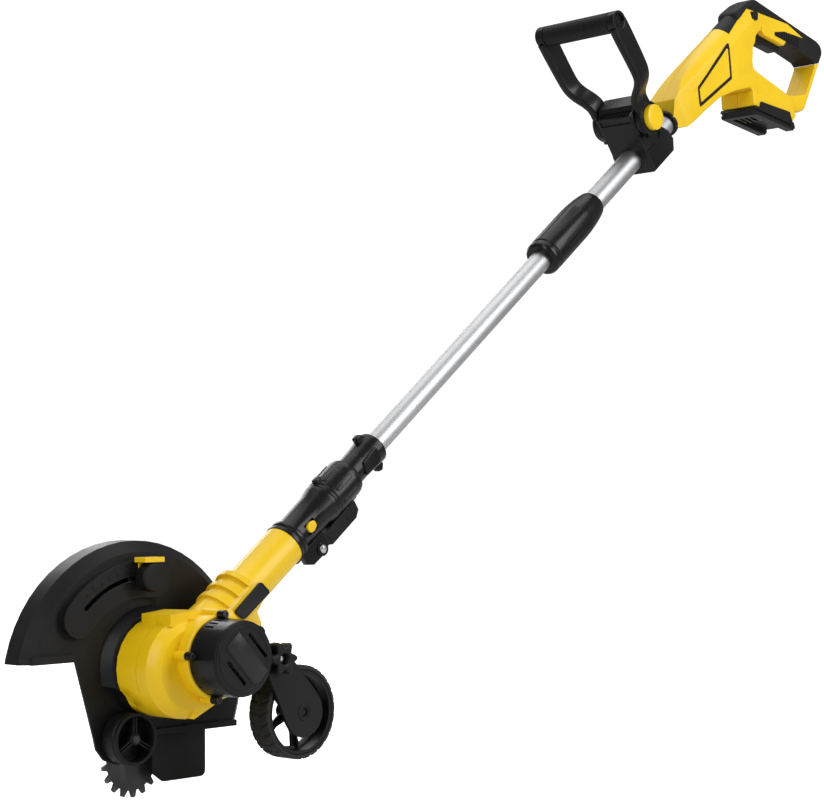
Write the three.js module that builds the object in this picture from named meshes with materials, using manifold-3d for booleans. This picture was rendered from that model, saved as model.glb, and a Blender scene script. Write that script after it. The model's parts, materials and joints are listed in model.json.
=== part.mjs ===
// Cordless wheeled lawn edger, in millimetres, +Z up.
// -X is the way it is pushed, -Y is the motor side, +Y is the blade side.
// The origin is the middle of the rear grip, where the operator holds it.
import * as THREE from 'three';
import { mergeVertices } from 'three/addons/utils/BufferGeometryUtils.js';
import Module from 'manifold-3d';

const wasm = await Module();
wasm.setup();

// ---------------------------------------------------------------- driving dimensions
const GAP = 0.3;                                     // clearance between touching pieces
const SHAFT_ANGLE = THREE.MathUtils.degToRad(38.155);
const SHAFT_PLANE = 77;                              // the pole's middle plane, across from the cap face
const SHAFT_OFFSET = 6.06;                           // pole axis above the motor axis
const GRIP = { s: 1316, n: -36 };                    // middle of the rear grip along and above the pole
const LOWER_TUBE_R = 12.5;
const UPPER_TUBE_R = 14.15;
const TUBE_WALL = 1.3;

const GEAR_MODULE = 1.25;
const PINION_TEETH = 26;
const GEAR_TEETH = 39;
const GEAR_DISTANCE = GEAR_MODULE * (PINION_TEETH + GEAR_TEETH) / 2;
const SPINDLE_ANGLE = THREE.MathUtils.degToRad(223);
const SPINDLE = {
  x: GEAR_DISTANCE * Math.cos(SPINDLE_ANGLE),
  z: GEAR_DISTANCE * Math.sin(SPINDLE_ANGLE),
};
const DRUM = { x: -21, z: -11, r: 48.7 };
const BARREL_R = 41;                                 // housing around the motor
const CAP_R = 38.2;
const GUARD_R = 139.5;
const PLATE = { front: 120, back: 123 };             // guard plate, across
const SLOT_R = 104;                                  // depth slot about the spindle
const DEPTH_STUD_R = 2;
const SLOT_HALF = 2.4;
const KNOB_ANGLE = THREE.MathUtils.degToRad(91);
const DEPTH_KNOB = {
  x: SPINDLE.x + SLOT_R * Math.cos(KNOB_ANGLE),
  z: SPINDLE.z + SLOT_R * Math.sin(KNOB_ANGLE),
};
const FRONT_WHEEL = { x: -52.9, z: -78.8, r: 25.2, front: 96.9, back: 118.6 };
const REAR_WHEEL = { x: 93.9, z: -59.8, r: 46.6, front: 20.7, back: 48.2 };
const ARM_PIVOT = { x: 56, z: -4 };
const GUARD_TRAVEL = 38;                             // degrees
const BLADE_R = 114;                                 // nine inch blade
const BLADE = { front: 138, back: 141 };
const D_PIVOT = { s: 944, n: 43 };
const D_ARM = { inner: 28, outer: 38 };              // side arms of the D-handle, across
const D_BAR = 137.5;                                 // crossbar above the pivot
const D_LEAN = 4;                                    // degrees towards the head
const LEVER_PIVOT = { s: 189, n: -28 };
const NECK_R = 22.3;
const NECK_END = 161;

const YELLOW = 0xf2c522;
const BLACK = 0x222222;
const GREY = 0x3c3c3c;
const STEEL = 0xb8babd;
const ALUMINIUM = 0xd4d6d9;
const BRASS = 0xc9a24a;
const RUBBER = 0x181818;

// ---------------------------------------------------------------- geometry helpers
function withoutSlivers(geometry) {
  const index = geometry.index.array;
  const kept = [];
  for (let i = 0; i < index.length; i += 3) {
    const [a, b, c] = [index[i], index[i + 1], index[i + 2]];
    if (a !== b && b !== c && a !== c) kept.push(a, b, c);
  }
  geometry.setIndex(kept);
  return geometry;
}

function signedVolume(geometry) {
  const p = geometry.attributes.position;
  const index = geometry.index.array;
  const [a, b, c] = [new THREE.Vector3(), new THREE.Vector3(), new THREE.Vector3()];
  let volume = 0;
  for (let i = 0; i < index.length; i += 3) {
    a.fromBufferAttribute(p, index[i]);
    b.fromBufferAttribute(p, index[i + 1]);
    c.fromBufferAttribute(p, index[i + 2]);
    volume += a.dot(b.cross(c)) / 6;
  }
  return volume;
}

// A closed, outward-facing mesh with merged corners.
function closed(geometry) {
  geometry.deleteAttribute('normal');
  geometry.deleteAttribute('uv');
  const merged = withoutSlivers(mergeVertices(geometry, 1e-4));
  if (signedVolume(merged) < 0) {
    const index = Array.from(merged.index.array);
    for (let i = 0; i < index.length; i += 3) {
      const swap = index[i + 1];
      index[i + 1] = index[i + 2];
      index[i + 2] = swap;
    }
    merged.setIndex(index);
  }
  return merged;
}

function toSolid(geometry) {
  return new wasm.Manifold(new wasm.Mesh({
    numProp: 3,
    vertProperties: new Float32Array(geometry.attributes.position.array),
    triVerts: new Uint32Array(geometry.index.array),
  }));
}

function fromSolid(manifold) {
  const mesh = manifold.getMesh();
  const geometry = new THREE.BufferGeometry();
  geometry.setAttribute('position', new THREE.BufferAttribute(new Float32Array(mesh.vertProperties), 3));
  geometry.setIndex(Array.from(mesh.triVerts));
  return geometry;
}

function join(...pieces) {
  return fromSolid(pieces.map(toSolid).reduce((all, piece) => all.add(piece)));
}

function cut(body, ...tools) {
  return fromSolid(tools.map(toSolid).reduce((left, tool) => left.subtract(tool), toSolid(body)));
}

function common(a, b) {
  return fromSolid(toSolid(a).intersect(toSolid(b)));
}

function shapeOf(points) {
  return new THREE.Shape(points.map(([x, z]) => new THREE.Vector2(x, z)));
}

// A flat outline in x and z, given thickness from y0 to y1.
function slab(outline, y0, y1, holes = [], curveSegments = 10) {
  const shape = outline instanceof THREE.Shape ? outline : shapeOf(outline);
  holes.forEach((hole) => shape.holes.push(hole instanceof THREE.Shape ? hole : shapeOf(hole)));
  const geometry = new THREE.ExtrudeGeometry(shape, { depth: y1 - y0, bevelEnabled: false, curveSegments });
  geometry.rotateX(Math.PI / 2);
  geometry.translate(0, y1, 0);
  return closed(geometry);
}

// A turned shape about the cross axis through (x, z); the profile holds [radius, y].
function turned(profile, x = 0, z = 0, segments = 24) {
  const geometry = new THREE.LatheGeometry(profile.map(([r, y]) => new THREE.Vector2(r, y)), segments);
  geometry.translate(x, 0, z);
  return closed(geometry);
}

function cylinder(radius, y0, y1, x = 0, z = 0, segments = 24) {
  return turned([[0, y0], [radius, y0], [radius, y1], [0, y1]], x, z, segments);
}

function ring(outer, inner, y0, y1, x = 0, z = 0, segments = 24) {
  return turned([[inner, y0], [outer, y0], [outer, y1], [inner, y1], [inner, y0]], x, z, segments);
}

// The same about the pole's axis, which is x in the pole's own frame; the profile holds [radius, s].
function turnedOnPole(profile, segments = 24) {
  const geometry = new THREE.LatheGeometry(profile.map(([r, s]) => new THREE.Vector2(r, s)), segments);
  geometry.rotateZ(-Math.PI / 2);
  return closed(geometry);
}

function tube(outer, inner, s0, s1, segments = 24) {
  return turnedOnPole([[inner, s0], [outer, s0], [outer, s1], [inner, s1], [inner, s0]], segments);
}

function rod(radius, s0, s1, segments = 24) {
  return turnedOnPole([[0, s0], [radius, s0], [radius, s1], [0, s1]], segments);
}

function block(x0, x1, y0, y1, z0, z1) {
  const geometry = new THREE.BoxGeometry(x1 - x0, y1 - y0, z1 - z0);
  geometry.translate((x0 + x1) / 2, (y0 + y1) / 2, (z0 + z1) / 2);
  return closed(geometry);
}

function turnedBy(geometry, degrees, x = 0, z = 0) {
  geometry.translate(-x, 0, -z);
  geometry.rotateY(-THREE.MathUtils.degToRad(degrees));
  geometry.translate(x, 0, z);
  return geometry;
}

// Where the pole's own frame starts, in the head's frame.
const POLE_START = new THREE.Vector3(
  -SHAFT_OFFSET * Math.sin(SHAFT_ANGLE), SHAFT_PLANE, SHAFT_OFFSET * Math.cos(SHAFT_ANGLE));

// From the pole's frame (s, across from its plane, n) to the head's frame.
function fromPole(geometry) {
  geometry.rotateY(-SHAFT_ANGLE);
  geometry.translate(POLE_START.x, POLE_START.y, POLE_START.z);
  return geometry;
}

function arcPoints(x, z, radius, from, to, steps) {
  return Array.from({ length: steps + 1 }, (_, i) => {
    const a = THREE.MathUtils.degToRad(from + (to - from) * i / steps);
    return [x + radius * Math.cos(a), z + radius * Math.sin(a)];
  });
}

// Straight-sided link around two circles.
function link(a, b, steps = 10) {
  const along = Math.atan2(b.z - a.z, b.x - a.x);
  const lean = Math.acos((a.r - b.r) / Math.hypot(b.x - a.x, b.z - a.z));
  const deg = THREE.MathUtils.radToDeg;
  return [
    ...arcPoints(a.x, a.z, a.r, deg(along + lean), deg(along - lean) + 360, steps),
    ...arcPoints(b.x, b.z, b.r, deg(along - lean), deg(along + lean), steps),
  ];
}

// The outline moved inwards by a distance.
function inset(points, distance) {
  const corners = points.map(([x, z]) => new THREE.Vector2(x, z));
  const sign = Math.sign(THREE.ShapeUtils.area(corners));
  return corners.map((here, i) => {
    const back = here.clone().sub(corners.at(i - 1)).normalize();
    const front = corners[(i + 1) % corners.length].clone().sub(here).normalize();
    const sum = new THREE.Vector2(-back.y - front.y, back.x + front.x);
    const reach = sign * distance / Math.max(0.3, 1 + back.dot(front));
    return [here.x + sum.x * reach, here.y + sum.y * reach];
  });
}

function gearOutline(teeth, centre, phase) {
  const pitch = GEAR_MODULE * teeth / 2;
  const root = pitch - 1.15 * GEAR_MODULE;
  const tip = pitch + 0.7 * GEAR_MODULE;
  const step = 2 * Math.PI / teeth;
  const points = [];
  for (let i = 0; i < teeth; i += 1) {
    const a = phase + i * step;
    [[-0.31, root], [-0.12, tip], [0.12, tip], [0.31, root]].forEach(([part, r]) => {
      points.push([centre.x + r * Math.cos(a + part * step), centre.z + r * Math.sin(a + part * step)]);
    });
  }
  return points;
}

// ---------------------------------------------------------------- scene helpers
const edger = new THREE.Group();
const machine = new THREE.Group();
const pole = new THREE.Group();
edger.add(machine);
machine.add(pole);
pole.rotation.y = -SHAFT_ANGLE;
pole.position.copy(POLE_START);

function add(parent, name, geometry, color, roughness = 0.5, metalness = 0) {
  const mesh = new THREE.Mesh(geometry, new THREE.MeshStandardMaterial({ color, roughness, metalness }));
  mesh.name = name;
  parent.add(mesh);
}

// ---------------------------------------------------------------- motor
const CAP_BASE = 35;
const EARS = [175, 90, 258];                             // screw ears around the cap, degrees
const EAR_RADIUS = 41;

function earCentre(angle) {
  const a = THREE.MathUtils.degToRad(angle);
  return { x: EAR_RADIUS * Math.cos(a), z: EAR_RADIUS * Math.sin(a) };
}

// The label panel and the slots beside it lie askew on the cap's face.
function onFace(geometry) {
  turnedBy(geometry, -47);
  geometry.translate(4, 0, -0.5);
  return geometry;
}

function motorCap() {
  const shell = turned([
    [0, 0], [34.2, 0], [36.6, 2.2], [CAP_R, CAP_BASE], [35.2, CAP_BASE], [33.6, 3.2], [0, 3.2],
  ], 0, 0, 36);
  const panel = onFace(slab([[-28, -12], [22, -12], [28, -6], [28, 12], [-28, 12]], -0.8, 1));
  const ears = EARS.map((angle) => {
    const c = earCentre(angle);
    return cylinder(4.4, 27, CAP_BASE, c.x, c.z, 16);
  });
  const bores = EARS.map((angle) => {
    const c = earCentre(angle);
    return turned([
      [0, 25], [3.9, 25], [3.9, 27.5], [2.1, 27.5], [2.1, CAP_BASE + 1], [0, CAP_BASE + 1],
    ], c.x, c.z, 16);
  });
  const inside = turned([[0, 3.2], [33.6, 3.2], [35.2, CAP_BASE + 1], [0, CAP_BASE + 1]], 0, 0, 36);
  const vents = [107, 116.5, 126].map((angle) => turnedBy(block(30, 42, 19, 31, -1.3, 1.3), angle));
  const faceSlots = [-18.3, 18.3].map((z) => onFace(block(-16, 16, -2, 6, z - 1.8, z + 1.8)));
  const body = cut(join(shell, panel, ...ears), ...bores, ...vents, ...faceSlots);
  return cut(body, inside);
}

function capScrew(angle) {
  const c = earCentre(angle);
  return turned([
    [0, 25.6], [3.5, 25.6], [3.5, 27.2], [1.8, 27.3], [1.8, 34.6], [0, 34.6],
  ].reverse(), c.x, c.z, 12);
}

function motorCan() {
  return turned([
    [4, 8], [24.5, 8], [26, 9.5], [26, 60], [24, 60], [24, 10.5], [4, 10.5], [4, 8],
  ]);
}

function endBell() {
  return turned([
    [7.9, 60.3], [37, 60.3], [37, 63], [16, 63], [14, 65.5], [3.2, 65.5], [3.2, 64.4], [7.9, 64.4],
    [7.9, 60.3],
  ]);
}

function rotor() {
  const body = turned([
    [0, 6.5], [2.5, 6.5], [2.5, 14], [21, 14], [21, 52], [2.5, 52], [2.5, 93], [0, 93],
  ]);
  const slots = Array.from({ length: 6 }, (_, i) => turnedBy(block(13, 23, 13, 53, -2, 2), 60 * i));
  return cut(body, ...slots);
}

function coolingFan() {
  const hub = ring(6, 2.8, 67, 73, 0, 0, 16);
  const disc = ring(30, 5, 71.5, 73, 0, 0, 24);
  const vanes = Array.from({ length: 8 }, (_, i) => turnedBy(block(5, 29, 67, 72, -0.7, 0.7), 45 * i + 12));
  return join(hub, disc, ...vanes);
}

function buildMotor() {
  add(machine, 'motor_cap', motorCap(), BLACK, 0.45);
  EARS.forEach((angle, i) => add(machine, `cap_screw_${i + 1}`, capScrew(angle), STEEL, 0.35, 1));
  add(machine, 'motor_can', motorCan(), STEEL, 0.4, 1);
  add(machine, 'motor_end_bell', endBell(), ALUMINIUM, 0.5, 1);
  add(machine, 'motor_bearing', ring(7.6, 2.8, 60.4, 64.1, 0, 0, 20), STEEL, 0.3, 1);
  add(machine, 'motor_rotor', rotor(), GREY, 0.5, 0.8);
  add(machine, 'cooling_fan', coolingFan(), BLACK, 0.6);
  const bore = new THREE.Shape().absarc(0, 0, 2.8, 0, 2 * Math.PI, true);
  const pinion = slab(gearOutline(PINION_TEETH, { x: 0, z: 0 }, SPINDLE_ANGLE), 84, 91, [bore], 6);
  add(machine, 'motor_pinion', pinion, STEEL, 0.4, 1);
}

// ---------------------------------------------------------------- head housing
const HOUSING_BACK = 106.7;

// The front wheel's path as the guard swings, kept free of the housing.
function wheelPath(clearance) {
  const steps = 5;
  return Array.from({ length: steps + 1 }, (_, i) => {
    const wheel = cylinder(FRONT_WHEEL.r + clearance, FRONT_WHEEL.front - 1.5, FRONT_WHEEL.back + 1,
      FRONT_WHEEL.x, FRONT_WHEEL.z, 24);
    return turnedBy(wheel, -GUARD_TRAVEL * i / steps, SPINDLE.x, SPINDLE.z);
  });
}

function headOuter() {
  const barrel = turned([
    [0, CAP_BASE + GAP], [BARREL_R - 1.5, CAP_BASE + GAP], [BARREL_R, CAP_BASE + 2],
    [BARREL_R, HOUSING_BACK], [0, HOUSING_BACK],
  ], 0, 0, 28);
  const drum = turned([
    [0, 50], [39, 50], [45.5, 56], [47, 60], [DRUM.r, 62], [DRUM.r, HOUSING_BACK], [0, HOUSING_BACK],
  ], DRUM.x, DRUM.z, 24);
  const filler = slab([[-20, 37], [10, 39], [30, 27], [36, -16], [22, -40], [-20, -59]], 50, HOUSING_BACK);
  const neck = fromPole(turnedOnPole([
    [0, 10], [29, 10], [26.5, 42], [25, 84], [NECK_R, 96], [NECK_R, NECK_END], [0, NECK_END],
  ], 24));
  const badgeRecess = fromPole(block(50, 102.5, -40, -23, -13, 9));
  const bulge = slab([
    [0, -38], [30, -32], [54, -20], [70, 0], [74, 14], [72, 30], [66, 42], [0, 40],
  ], 56, 100);
  const topBlocks = slab([[-44, 30], [-44, 41.5], [-16, 44.5], [16, 42.5], [16, 30]], 56, 100);
  const ribs = [52, 68, 84].map((s) => fromPole(
    common(rod(28.8, s - 3, s + 3), block(s - 4, s + 4, -30, 30, 13, 32))));
  return join(barrel, drum, filler, cut(neck, badgeRecess), bulge, topBlocks, ...ribs);
}

function headCavity() {
  const motorRoom = cylinder(37.5, 33, 66, 0, 0, 28);
  const fanRoom = cylinder(36, 65, 82, 0, 0, 28);
  const gearRoom = cylinder(27, 82, 93, SPINDLE.x, SPINDLE.z, 24);
  const pinionRoom = cylinder(19.5, 81, 93, 0, 0, 24);
  const spindleRoom = cylinder(9.3, 78, 108, SPINDLE.x, SPINDLE.z, 24);
  const socket = fromPole(rod(LOWER_TUBE_R + GAP, 110, NECK_END + 1, 24));
  const wiring = fromPole(rod(9, 20, 112, 20));
  return [motorRoom, fanRoom, gearRoom, pinionRoom, spindleRoom, socket, wiring];
}

function headShells() {
  const hollow = cut(headOuter(), ...headCavity(), ...wheelPath(1.2));
  const far = 400;
  return {
    left: common(hollow, block(-far, far, 0, SHAFT_PLANE - GAP / 2, -far, far)),
    right: common(hollow, block(-far, far, SHAFT_PLANE + GAP / 2, far, -far, far)),
  };
}

// Flange behind the housing, with the spigot that the guard turns on.
function gearboxCover() {
  const flange = turned([
    [0, HOUSING_BACK + GAP], [46, HOUSING_BACK + GAP], [52, 109], [59, 119.6], [0, 119.6],
  ], DRUM.x, DRUM.z, 32);
  const spigot = cylinder(22, HOUSING_BACK + GAP, 127, SPINDLE.x, SPINDLE.z, 24);
  const pocket = cylinder(13.3, 119.5, 128, SPINDLE.x, SPINDLE.z, 24);
  const through = cylinder(8, 100, 121, SPINDLE.x, SPINDLE.z, 24);
  const underneath = block(-120, 60, 100, 130, -100, -62);
  return cut(join(flange, spigot), pocket, through, underneath, ...wheelPath(1.2));
}

function depthArm() {
  const outline = link({ x: SPINDLE.x, z: SPINDLE.z, r: 29 }, { x: DEPTH_KNOB.x, z: DEPTH_KNOB.z, r: 9 });
  const plate = slab(outline, 123.4, 126.4);
  const bore = cylinder(22 + GAP, 120, 130, SPINDLE.x, SPINDLE.z, 24);
  const studHole = cylinder(DEPTH_STUD_R + GAP, 120, 130, DEPTH_KNOB.x, DEPTH_KNOB.z, 16);
  return cut(plate, bore, studHole);
}

// Washer plate under the depth knob, with the tab that points at the depth marks.
function depthPointer() {
  const washer = cylinder(11, 109.3, 111.3, DEPTH_KNOB.x, DEPTH_KNOB.z, 24);
  const riser = block(DEPTH_KNOB.x - 8, DEPTH_KNOB.x + 6, 109.3, 111.3, DEPTH_KNOB.z, 94);
  const tab = block(-44, -20, 94, 111.3, 91, 96);
  const bore = cylinder(DEPTH_STUD_R + GAP, 100, 120, DEPTH_KNOB.x, DEPTH_KNOB.z, 16);
  return cut(join(washer, riser, tab), bore);
}

function depthKnob() {
  return turned([
    [0, 94], [12.5, 94], [14.2, 95.5], [14.2, 107], [12.5, 109], [DEPTH_STUD_R, 109], [DEPTH_STUD_R, 129.5],
    [0, 129.5],
  ], DEPTH_KNOB.x, DEPTH_KNOB.z, 24);
}

function rearBracket() {
  const base = slab(link({ x: ARM_PIVOT.x, z: ARM_PIVOT.z, r: 14 }, { x: 64, z: 18, r: 8 }), 49, 55.7);
  const post = cylinder(11, 22.8, 51, ARM_PIVOT.x, ARM_PIVOT.z, 24);
  const boltHole = cylinder(3.3, 20, 60, ARM_PIVOT.x, ARM_PIVOT.z, 16);
  return cut(join(base, post), boltHole);
}

function wheelArmBolt() {
  return turned([
    [0, 8.5], [4.6, 8.5], [4.6, 11.5], [3, 11.5], [3, 48], [0, 48],
  ], ARM_PIVOT.x, ARM_PIVOT.z, 20);
}

function neckBadge() {
  return fromPole(slab([
    [54, 5.5], [95, 6.5], [97.5, 4], [100, -8], [98.5, -10.5], [58, -9.5], [55.5, -7], [52.5, 3],
  ], -24.6, -23.3));
}

function buildHead() {
  const shells = headShells();
  add(machine, 'head_shell_left', shells.left, YELLOW, 0.4);
  add(machine, 'head_shell_right', shells.right, YELLOW, 0.4);
  add(machine, 'neck_badge', neckBadge(), BLACK, 0.35);
  add(machine, 'gearbox_cover', gearboxCover(), BLACK, 0.5);
  add(machine, 'depth_arm', depthArm(), STEEL, 0.4, 1);
  add(machine, 'depth_pointer', depthPointer(), YELLOW, 0.4);
  add(machine, 'depth_knob', depthKnob(), GREY, 0.45);
  add(machine, 'rear_bracket', rearBracket(), BLACK, 0.5);
  add(machine, 'wheel_arm_bolt', wheelArmBolt(), STEEL, 0.3, 1);
}

// ---------------------------------------------------------------- blade and its drive
function spindle() {
  return turned([
    [0, 78.5], [6, 78.5], [6, 133], [13, 133], [13, 137.7], [5, 137.7], [5, 152], [0, 152],
  ], SPINDLE.x, SPINDLE.z, 24);
}

// Two toothed ends on a straight bar.
function blade() {
  const lobe = { r: 30, tip: 36.5, offset: BLADE_R - 36.5 };
  const teeth = 17;
  const outline = (side) => {
    const points = [];
    for (let i = 0; i < teeth; i += 1) {
      const a = 2 * Math.PI * i / teeth + Math.PI / 2;
      const step = 2 * Math.PI / teeth;
      [[-0.34, lobe.r], [-0.14, lobe.tip], [0.14, lobe.tip], [0.34, lobe.r]].forEach(([part, r]) => {
        points.push([
          SPINDLE.x + r * Math.cos(a + part * step),
          SPINDLE.z + side * (lobe.offset + r * Math.sin(a + part * step)),
        ]);
      });
    }
    return side > 0 ? points : points.reverse();
  };
  const bar = block(SPINDLE.x - 19, SPINDLE.x + 19, BLADE.front, BLADE.back,
    SPINDLE.z - lobe.offset, SPINDLE.z + lobe.offset);
  const ends = [1, -1].map((side) => slab(outline(side), BLADE.front, BLADE.back));
  const bore = cylinder(5.3, BLADE.front - 1, BLADE.back + 1, SPINDLE.x, SPINDLE.z, 24);
  return turnedBy(cut(join(bar, ...ends), bore), 3, SPINDLE.x, SPINDLE.z);
}

function bladeNut() {
  const bore = new THREE.Shape().absarc(SPINDLE.x, SPINDLE.z, 5.3, 0, 2 * Math.PI, true);
  return slab(arcPoints(SPINDLE.x, SPINDLE.z, 9.8, 0, 300, 5), 144.4, 151, [bore], 8);
}

function buildBlade() {
  add(machine, 'spindle_bearing', ring(13, 6.3, 120, 126.6, SPINDLE.x, SPINDLE.z, 24), STEEL, 0.3, 1);
  add(machine, 'spindle', spindle(), STEEL, 0.35, 1);
  const bore = new THREE.Shape().absarc(SPINDLE.x, SPINDLE.z, 6.3, 0, 2 * Math.PI, true);
  const mesh = Math.PI + SPINDLE_ANGLE + Math.PI / GEAR_TEETH;
  const gear = slab(gearOutline(GEAR_TEETH, SPINDLE, mesh), 84, 91, [bore], 8);
  add(machine, 'spindle_gear', gear, STEEL, 0.4, 1);
  add(machine, 'blade', blade(), STEEL, 0.4, 1);
  add(machine, 'blade_washer', ring(13, 5.3, 141.3, 144.1, SPINDLE.x, SPINDLE.z, 24), STEEL, 0.35, 1);
  add(machine, 'blade_nut', bladeNut(), STEEL, 0.35, 1);
}

// ---------------------------------------------------------------- guard, flap and front wheel
// Where the guard has material, seen from the motor side.
function guardOutline() {
  return [
    [-200, -2], [-108, -2], [-86, -76], [-83, -88], [-74, -99], [-58, -105], [-42, -102], [-30, -92],
    [-24, -80], [140, -80], [140, 140], [-200, 140],
  ];
}

// The raised pad that carries the depth slot, about the spindle.
function padOutline(inner, outer, from, to) {
  const { x, z } = SPINDLE;
  const middle = (inner + outer) / 2;
  const half = (outer - inner) / 2;
  const end = (angle, sign) => {
    const a = THREE.MathUtils.degToRad(angle);
    const c = [x + middle * Math.cos(a), z + middle * Math.sin(a)];
    return arcPoints(c[0], c[1], half, angle + (sign > 0 ? 0 : 180), angle + (sign > 0 ? 180 : 360), 6);
  };
  return [
    ...arcPoints(x, z, outer, from, to, 10),
    ...end(to, 1).slice(1, -1),
    ...arcPoints(x, z, inner, to, from, 10),
    ...end(from, -1).slice(1, -1),
  ];
}

function guard() {
  const { x, z } = SPINDLE;
  const dish = turned([
    [0, PLATE.front], [129, PLATE.front], [GUARD_R, 130], [GUARD_R, 152], [GUARD_R - 3, 152],
    [GUARD_R - 3, 131.5], [128, PLATE.back], [0, PLATE.back],
  ].reverse(), x, z, 56);
  const region = slab(guardOutline(), 100, 160);
  const shell = common(dish, region);
  const pad = slab(padOutline(84, 121, 82, 140), 112.4, PLATE.front + 1);
  const padRoom = slab(padOutline(87, 118, 84, 138), 115.4, PLATE.back + 1);
  const slot = slab(padOutline(SLOT_R - SLOT_HALF, SLOT_R + SLOT_HALF, 88, 133), 105, 130);
  const frontLip = block(-160, -108, 116, PLATE.front + 1, -2, 5);
  const bottomLip = block(-24, 92, 116, PLATE.front + 1, -80, -74);
  const spigotHole = cylinder(22 + GAP, 110, 130, x, z, 24);
  const axleBoss = cylinder(7, 119.3, 127, FRONT_WHEEL.x, FRONT_WHEEL.z, 16);
  const axleHole = cylinder(3.4, 110, 130, FRONT_WHEEL.x, FRONT_WHEEL.z, 16);
  return cut(join(shell, pad, frontLip, bottomLip, axleBoss), padRoom, slot, spigotHole, axleHole);
}

function debrisFlap() {
  return slab([
    [-12, -70], [57, -70], [57, -121], [54, -126], [48, -128], [2, -128], [-7, -125], [-12, -116],
  ], 124, 127);
}

function frontWheel() {
  const { x, z, r, front, back } = FRONT_WHEEL;
  const rim = ring(r, r - 3, front, back, x, z, 36);
  const hub = ring(6, 3.4, front + 1, back, x, z, 16);
  const spokes = [90, 210, 330].map((angle) => turnedBy(
    block(x + 4.5, x + r - 2, front + 2, back - 1, z - 2.4, z + 2.4), angle, x, z));
  return join(rim, hub, ...spokes);
}

function frontAxle() {
  const { x, z, front } = FRONT_WHEEL;
  return turned([
    [0, front - 1.2], [4.6, front - 1.2], [4.6, front + 0.6], [3, front + 0.7], [3, 129], [0, 129],
  ], x, z, 16);
}

function buildGuard() {
  add(machine, 'guard', guard(), GREY, 0.55);
  add(machine, 'debris_flap', debrisFlap(), RUBBER, 0.8);
  add(machine, 'front_axle', frontAxle(), STEEL, 0.35, 1);
  add(machine, 'front_wheel', frontWheel(), BLACK, 0.5);
}

// ---------------------------------------------------------------- rear wheel on its arm
function wheelArm() {
  const outline = link({ ...ARM_PIVOT, r: 15.5 }, { x: REAR_WHEEL.x, z: REAR_WHEEL.z, r: 25 });
  const plate = slab(outline, 16.7, 20.3);
  const pivotBoss = cylinder(11, 20, 22.5, ARM_PIVOT.x, ARM_PIVOT.z, 24);
  const hubBoss = cylinder(9, 20, 23.6, REAR_WHEEL.x, REAR_WHEEL.z, 24);
  const pivotHole = cylinder(3.4, 10, 30, ARM_PIVOT.x, ARM_PIVOT.z, 16);
  const axleHole = cylinder(4.3, 10, 30, REAR_WHEEL.x, REAR_WHEEL.z, 16);
  return cut(join(plate, pivotBoss, hubBoss), pivotHole, axleHole);
}

function rearAxle() {
  return turned([[0, 18.5], [4, 18.5], [4, 50], [7, 50], [7, 52], [0, 52]], REAR_WHEEL.x, REAR_WHEEL.z, 20);
}

function rearWheel() {
  const { x, z, back } = REAR_WHEEL;
  const rim = ring(42, 38.5, 21.4, back - 0.5, x, z, 24);
  const hub = ring(9, 4.4, 24, back, x, z, 20);
  const web = ring(40, 8, 38, 41, x, z, 24);
  const windows = [30, 102, 174, 246, 318].map((angle) => turnedBy(
    cylinder(8.5, 30, 45, x + 24, z, 14), angle, x, z));
  return cut(join(rim, hub, web), ...windows);
}

function rearTyre() {
  const { x, z, r, front, back } = REAR_WHEEL;
  const tread = turned([
    [42.3, front], [r - 1, front], [r, front + 1.5], [r, back - 1.5], [r - 1, back], [42.3, back],
    [42.3, front],
  ], x, z, 32);
  const grooves = Array.from({ length: 16 }, (_, i) => turnedBy(
    block(x + r - 1.6, x + r + 1, front + 6, back - 3, z - 1.4, z + 1.4), 22.5 * i + 5, x, z));
  return cut(tread, ...grooves);
}

function starKnob() {
  const points = [];
  const lobes = 6;
  const steps = 6 * lobes;
  for (let i = 0; i < steps; i += 1) {
    const a = 2 * Math.PI * i / steps;
    const r = 14.2 + 3.2 * Math.cos(lobes * a);
    points.push([ARM_PIVOT.x + r * Math.cos(a), ARM_PIVOT.z + r * Math.sin(a)]);
  }
  const body = slab(points, 3, 16.2);
  const headRoom = cylinder(5.2, 0, 11.8, ARM_PIVOT.x, ARM_PIVOT.z, 20);
  const boltHole = cylinder(3.4, 0, 20, ARM_PIVOT.x, ARM_PIVOT.z, 16);
  return cut(body, headRoom, boltHole);
}

function buildRearWheel() {
  add(machine, 'wheel_arm', wheelArm(), GREY, 0.5);
  add(machine, 'wheel_arm_knob', starKnob(), BLACK, 0.5);
  add(machine, 'rear_axle', rearAxle(), STEEL, 0.35, 1);
  add(machine, 'rear_wheel', rearWheel(), BLACK, 0.5);
  add(machine, 'rear_tyre', rearTyre(), RUBBER, 0.8);
}

// ---------------------------------------------------------------- lower pole and its coupling
const COUPLING = { start: NECK_END + GAP, nut: 231, top: 276.7 };

function couplingBody() {
  const sleeve = turnedOnPole([
    [LOWER_TUBE_R + GAP, COUPLING.start], [23, COUPLING.start], [23, 165], [21.4, 165.8], [21.4, 167],
    [22.6, 168], [22.6, 172], [19.4, 174.5], [19.8, 215], [22.4, 226], [22.4, COUPLING.nut - GAP],
    [17, COUPLING.nut - GAP], [17, COUPLING.top], [LOWER_TUBE_R + GAP, COUPLING.top],
    [LOWER_TUBE_R + GAP, COUPLING.start],
  ], 24);
  const cheek = (y0, y1) => slab([
    [163, -14], [163, -28], [170, -33.5], [192, -34.5], [200, -29], [200, -14],
  ], y0, y1);
  const window = block(181.6, 196.6, -25, -13.5, -4.6, 7.6);
  const pinHole = cylinder(3.3, -20, 20, LEVER_PIVOT.s, LEVER_PIVOT.n, 16);
  const bore = rod(LOWER_TUBE_R + GAP, 160, 290, 24);
  return cut(join(sleeve, cheek(-16, -9), cheek(9, 16)), window, pinHole, bore);
}

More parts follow.
